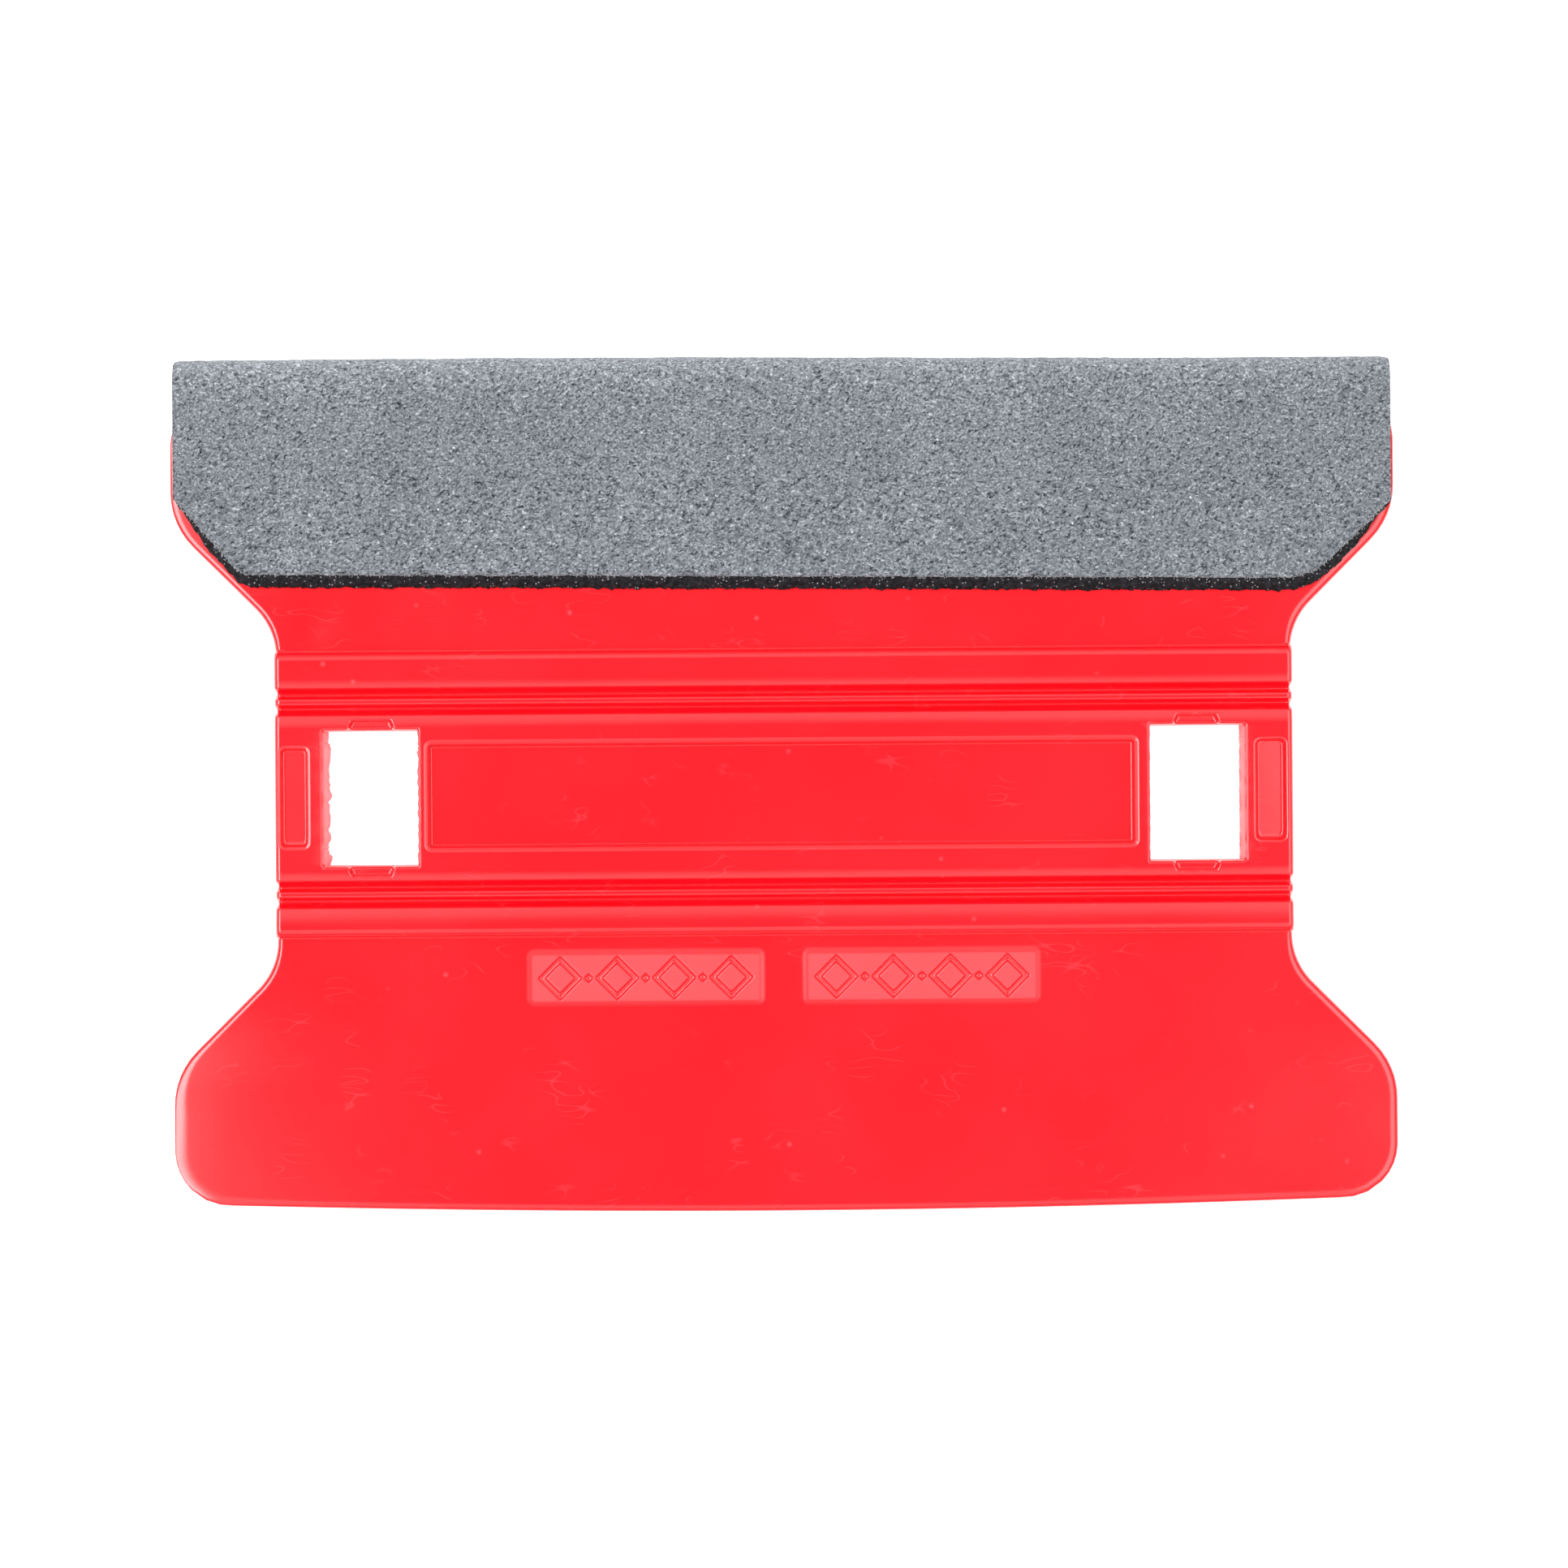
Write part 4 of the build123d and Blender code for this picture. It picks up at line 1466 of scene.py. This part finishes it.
@dataclass(frozen=True)
class NappedSuede(Finish):
    """Micro-suede: a short, matted nap of dark and light threads, with a painted sheen towards the fold's
    outer line.

    Attributes:
        dark: The colour between the threads.
        light: The colour of the lightest threads.
        fold_y: How far towards +Y the fold reaches, in metres.
        sheen_reach: How far from there the painted sheen reaches.
        sheen_gain: How many times as bright the painted sheen makes the nap at the fold's outer line.
    """

    dark: tuple[float, float, float, float] = rgba(0.020, 0.023, 0.027)
    light: tuple[float, float, float, float] = rgba(0.55, 0.585, 0.625)
    fold_y: float = float(CAD_BOX[1][1])
    sheen_reach: float = 0.0062
    sheen_gain: float = 1.5

    def build(self, effects: Effects) -> bpy.types.Material:
        """Makes the material."""
        material, sketch, place = self.start()
        threads = use_group(sketch, effects.streaks, place, {"Scale": 3900.0, "Length": 3.0, "Start": 0.62})
        shade = use_group(sketch, effects.streaks, sketch.stretch(place, (1.0, -1.0, 1.0), 0.35),
                          {"Scale": 3600.0, "Length": 2.8, "Start": 0.6})
        clumps = sketch.noise(place, 3400.0, 2.0, 0.6)
        cloud = sketch.noise(place, 70.0, 2.0, 0.5)
        matted = sketch.span(clumps, 0.3, 0.7, 0.10, 0.54)
        tone = sketch.maths("ADD", sketch.maths("MULTIPLY", threads, 0.62), matted)
        tone = sketch.maths("SUBTRACT", tone, sketch.maths("MULTIPLY", shade, 0.78))
        tone = sketch.maths("ADD", tone, sketch.span(cloud, 0.3, 0.7, -0.03, 0.03))
        low = sketch.blend(sketch.span(tone, -0.3, 0.3), self.dark, self.colour)
        colour = sketch.blend(sketch.span(tone, 0.3, 0.85), low, self.light)
        # Painted sheen: the nap is made up to 1.5 times as bright towards the fold's outer line, standing in
        # for light on the fold's rounding.
        over = sketch.add("SeparateXYZ", {0: place}).outputs[1]
        over = sketch.span(over, self.fold_y - self.sheen_reach, self.fold_y)
        over = sketch.maths("MULTIPLY", over, over)
        colour = sketch.blend(over, colour, rgba(self.sheen_gain, self.sheen_gain, self.sheen_gain), "MULTIPLY")
        sparks = use_group(sketch, effects.flecks, place, {"Scale": 1500.0, "Share": 0.012, "Size": 0.3})
        colour = sketch.blend(sparks, colour, rgba(0.9, 0.92, 0.95))
        bump = sketch.add("Bump", {"Height": tone, "Strength": 0.8, "Distance": 0.00016})
        self.finish(sketch, {
            "Base Color": colour, "Roughness": self.roughness, "Normal": bump.outputs[0],
            "Sheen Weight": 0.25, "Sheen Roughness": 0.5, "Specular IOR Level": 0.2,
        })
        return material


@dataclass(frozen=True)
class TornFoam(Finish):
    """Near-black foam with open cells and a few pale specks of cut skin."""

    def build(self, effects: Effects) -> bpy.types.Material:
        """Makes the material."""
        material, sketch, place = self.start()
        cells = sketch.add("TexVoronoi", {"Vector": place, "Scale": 2600.0}).outputs["Distance"]
        clumps = sketch.noise(place, 1500.0, 3.0, 0.6)
        specks = use_group(sketch, effects.flecks, place, {"Scale": 3000.0, "Share": 0.2, "Size": 0.42})
        toned = sketch.blend(sketch.span(clumps, 0.4, 0.7), self.colour, rgba(0.03, 0.028, 0.034))
        colour = sketch.blend(specks, toned, rgba(0.5, 0.5, 0.52))
        height = sketch.maths("ADD", cells, clumps)
        bump = sketch.add("Bump", {"Height": height, "Strength": 1.0, "Distance": 0.0002})
        self.finish(sketch, {
            "Base Color": colour, "Roughness": self.roughness, "Normal": bump.outputs[0],
            "Specular IOR Level": 0.25,
        })
        return material


@dataclass(frozen=True)
class ClearFilm(Finish):
    """Pale, slightly cloudy adhesive film."""

    def build(self, effects: Effects) -> bpy.types.Material:
        """Makes the material."""
        material, sketch, place = self.start()
        cloud = sketch.noise(place, 300.0, 3.0, 0.5)
        dust = use_group(sketch, effects.flecks, place, {"Scale": 900.0, "Share": 0.2, "Size": 0.2})
        colour = sketch.blend(sketch.span(cloud, 0.3, 0.7), self.colour, rgba(0.55, 0.5, 0.42))
        rough = sketch.maths("ADD", sketch.maths("MULTIPLY", dust, 0.3), self.roughness)
        self.finish(sketch, {"Base Color": colour, "Roughness": rough})
        return material


@dataclass(frozen=True)
class PaleFloor(Finish):
    """A plain pale floor that glows a little, so that it stays white beside the object.

    Attributes:
        glow: How strongly it glows.
    """

    glow: float = 0.75

    def build(self, effects: Effects) -> bpy.types.Material:
        """Makes the material."""
        material, sketch, place = self.start()
        cloud = sketch.noise(place, 3.0, 1.0, 0.4)
        colour = sketch.blend(sketch.span(cloud, 0.3, 0.7), self.colour, rgba(0.60, 0.60, 0.60))
        self.finish(sketch, {
            "Base Color": colour, "Roughness": self.roughness,
            "Emission Color": rgba(1.0, 1.0, 1.0), "Emission Strength": self.glow, "Specular IOR Level": 0.0,
        })
        return material


class FinishName(Enum):
    """The finishes of the pieces, each with its recipe."""

    CARD = GlossMoulding("red_gloss_moulding", rgba(0.96, 0.0035, 0.0120), 0.14)
    SUEDE = NappedSuede("grey_micro_suede", rgba(0.167, 0.182, 0.203), 0.95)
    FIBRES = NappedSuede("pale_suede_fibres", rgba(0.42, 0.44, 0.47), 0.9, rgba(0.25, 0.27, 0.29),
                         rgba(0.8, 0.82, 0.84))
    FOAM = TornFoam("black_pad_foam", rgba(0.007, 0.007, 0.008), 0.9)
    FILM = ClearFilm("adhesive_film", rgba(0.6, 0.56, 0.48), 0.3)
    FLOOR = PaleFloor("pale_floor", rgba(0.62, 0.62, 0.62), 0.9)


# ---------------------------------------------------------------------------------------------------------
# The stage
# ---------------------------------------------------------------------------------------------------------


@dataclass(frozen=True)
class Studio:
    """The pale floor, the soft tent of light and the camera, in metres.

    Attributes:
        distance: How far the camera is above the card's middle plane.
        view_width: The width of the card's middle plane that the camera sees.
        roll: How far the camera is rolled, in degrees.
        floor_half: Half the floor's width.
        overhead: Brightness straight overhead, where the tent has its opening.
        tent: Brightness of the tent's walls.
        ends: How much brighter the tent is towards its left and right ends.
        left_box: Brightness of the large soft box on the left, on top of the tent's.
        right_box: Brightness of the smaller one on the right.
        opening: The heights between which the overhead opening fades into the walls.
        low_fade: The heights between which the walls reach their full brightness.
        low_share: The walls' share of brightness below that.
        box_side: How far along Y the boxes' sides fade.
        box_foot: The heights between which the boxes' feet fade in.
        left_edges: Where the left box fades in and out along X.
        right_edges: The same for the right box.
        end_fade: Where the brighter ends fade in along X.
    """

    distance: float = 0.55
    view_width: float = 0.1955
    roll: float = -0.42
    floor_half: float = 2.5
    overhead: float = 0.19
    tent: float = 0.9
    ends: float = 1.3
    left_box: float = 5.4
    right_box: float = 1.3
    opening: tuple[float, float] = (0.994, 0.958)
    low_fade: tuple[float, float] = (0.3, 0.76)
    low_share: float = 0.24
    box_side: tuple[float, float] = (0.36, 0.52)
    box_foot: tuple[float, float] = (0.5, 0.64)
    left_edges: tuple[float, float, float, float] = (-0.24, -0.40, -0.56, -0.74)
    right_edges: tuple[float, float, float, float] = (0.14, 0.3, 0.6, 0.8)
    end_fade: tuple[float, float] = (0.06, 0.2)

    def build(self, finish: bpy.types.Material, low: np.ndarray, high: np.ndarray, middle_z: float) -> None:
        """Builds the floor, the light and the camera.

        Args:
            finish: The floor's material.
            low: The object's lowest corner.
            high: The object's highest corner.
            middle_z: Height of the card's middle plane.
        """
        self.floor(finish, float(low[2]))
        self.light()
        self.camera((low + high) / 2, middle_z)

    def floor(self, finish: bpy.types.Material, level: float) -> None:
        """Adds the floor as a large flat grid at the level that the object rests on."""
        line = np.linspace(-self.floor_half, self.floor_half, 9) / MM
        x, y = np.meshgrid(line, line)
        shell = Shell()
        shell.grid(shell.add(x, y, 0.0 * x))
        piece = shell.to_piece("floor", np.array([0.0, 0.0, level / MM]))
        piece.data.materials.append(finish)

    def light(self) -> None:
        """Makes the tent: soft light all round, dimmer straight overhead and low down, and two boxes."""
        world = bpy.data.worlds.new("light_tent")
        bpy.context.scene.world = world
        world.use_nodes = True
        sketch = NodeSketch(world.node_tree)
        towards = sketch.add("TexCoord").outputs["Generated"]
        across, along, up = sketch.add("SeparateXYZ", {0: towards}).outputs
        walls = self.ramp(sketch, up, *self.opening, 0.0, 1.0)
        low = self.ramp(sketch, up, *self.low_fade, self.low_share, 1.0)
        wide = self.ramp(sketch, sketch.maths("ABSOLUTE", along), *self.box_side, 1.0, 0.0)
        wide = sketch.maths("MULTIPLY", wide, self.ramp(sketch, up, *self.box_foot, 0.0, 1.0))
        left = self.ramp(sketch, across, *self.left_edges[:2], 0.0, self.left_box)
        left = sketch.maths("MULTIPLY", left, self.ramp(sketch, across, *self.left_edges[2:], 1.0, 0.0))
        right = self.ramp(sketch, across, *self.right_edges[:2], 0.0, self.right_box)
        right = sketch.maths("MULTIPLY", right, self.ramp(sketch, across, *self.right_edges[2:], 1.0, 0.0))
        boxes = sketch.maths("MULTIPLY", sketch.maths("ADD", left, right), wide)
        ends = self.ramp(sketch, sketch.maths("ABSOLUTE", across), *self.end_fade, 1.0, self.ends)
        tent = sketch.maths("MULTIPLY", sketch.maths("MULTIPLY", low, ends), self.tent)
        total = sketch.maths("ADD", tent, boxes)
        rest = sketch.maths("MULTIPLY", sketch.maths("SUBTRACT", 1.0, walls), self.overhead)
        strength = sketch.maths("ADD", sketch.maths("MULTIPLY", total, walls), rest)
        glow = sketch.add("Background", {"Color": rgba(1.0, 1.0, 1.0), "Strength": strength})
        sketch.add("OutputWorld", {"Surface": glow.outputs[0]})

    @staticmethod
    def ramp(sketch: NodeSketch, value: bpy.types.NodeSocket, low: float, high: float, start: float,
             end: float) -> bpy.types.NodeSocket:
        """A value mapped by a smooth step from low..high to start..end."""
        values = {"Value": value, "From Min": low, "From Max": high, "To Min": start, "To Max": end}
        return sketch.add("MapRange", values, interpolation_type="SMOOTHSTEP").outputs[0]

    def camera(self, centre: np.ndarray, middle_z: float) -> None:
        """Adds the camera straight above the object, with a long lens and a slight roll."""
        data = bpy.data.cameras.new("camera")
        data.sensor_width = 36.0
        data.lens = data.sensor_width * self.distance / self.view_width
        camera = bpy.data.objects.new("camera", data)
        camera.location = (float(centre[0]), float(centre[1]), middle_z + self.distance)
        camera.rotation_euler = (0.0, 0.0, math.radians(self.roll))
        bpy.context.scene.collection.objects.link(camera)
        bpy.context.scene.camera = camera
        bpy.context.scene.view_settings.view_transform = "Standard"


# ---------------------------------------------------------------------------------------------------------
# The whole object
# ---------------------------------------------------------------------------------------------------------


@dataclass
class SqueegeeApplicator:
    """The whole tool, sized from the frame.

    Attributes:
        film: Thickness of the adhesive film, in millimetres.
        foam: Thickness of the foam.
        suede: Thickness of the suede.
    """

    film: float = 0.12
    foam: float = 1.5
    suede: float = 0.45

    def __post_init__(self) -> None:
        """Reads the card's place and size from the frame."""
        low, high = (np.array(corner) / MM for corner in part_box("blade_body"))
        self.centre = (low + high) / 2
        half = (high - low) / 2
        self.card = MouldedCard(Outline(float(half[0]), float(half[1])), float(half[2]))

    def layer(self, kind: type[FoldedLayer], under: float, over: float) -> FoldedLayer:
        """A layer of the pad between two distances from the blade's surface."""
        return kind(self.card, PadCut(), under, over, self.film + self.foam + self.suede)

    def build(self, finishes: dict[FinishName, bpy.types.Material]) -> None:
        """Builds every piece, dresses it, ties it to the root body and hides the CAD node that it stands in
        for.
        """
        gap = 0.02
        foam_top = self.film + self.foam
        pad_top = foam_top + self.suede
        suede = self.layer(SuedeFace, foam_top + gap, pad_top)
        plan = (
            (self.card, FinishName.CARD, "blade_body", "card_plastic"),
            (self.layer(AdhesiveFilm, gap, self.film), FinishName.FILM, "adhesive_film", "film"),
            (self.layer(FoamCore, self.film + gap, foam_top), FinishName.FOAM, "foam_core", "foam"),
            (suede, FinishName.SUEDE, "suede_face", "suede"),
            (self.layer(SuedeFibres, 0.0, pad_top), FinishName.FIBRES, "", "suede"),
        )
        for maker, finish, node, slot in plan:
            piece = maker.build(self.centre)
            piece.data.materials.append(finishes[finish])
            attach(piece, "root")
            if node:
                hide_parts(node)
            mesh = piece.data
            LOG.info("%s: %d points, %d faces", piece.name, len(mesh.vertices), len(mesh.polygons))
        width, length, area = suede.flat_cut()
        LOG.info("suede's flat cut: %.4f by %.4f m, %.6f square metres", width, length, area)


def main() -> None:
    """Builds the finishes, the tool and its stage, in that order."""
    logging.basicConfig(level=logging.INFO, format="%(name)s: %(message)s")
    effects = Effects()
    finishes = {name: name.value.build(effects) for name in FinishName}
    tool = SqueegeeApplicator()
    tool.build(finishes)
    low, high = (np.array(corner) for corner in CAD_BOX)
    Studio().build(finishes[FinishName.FLOOR], low, high, float(tool.centre[2]) * MM)


if __name__ == "__main__":
    main()
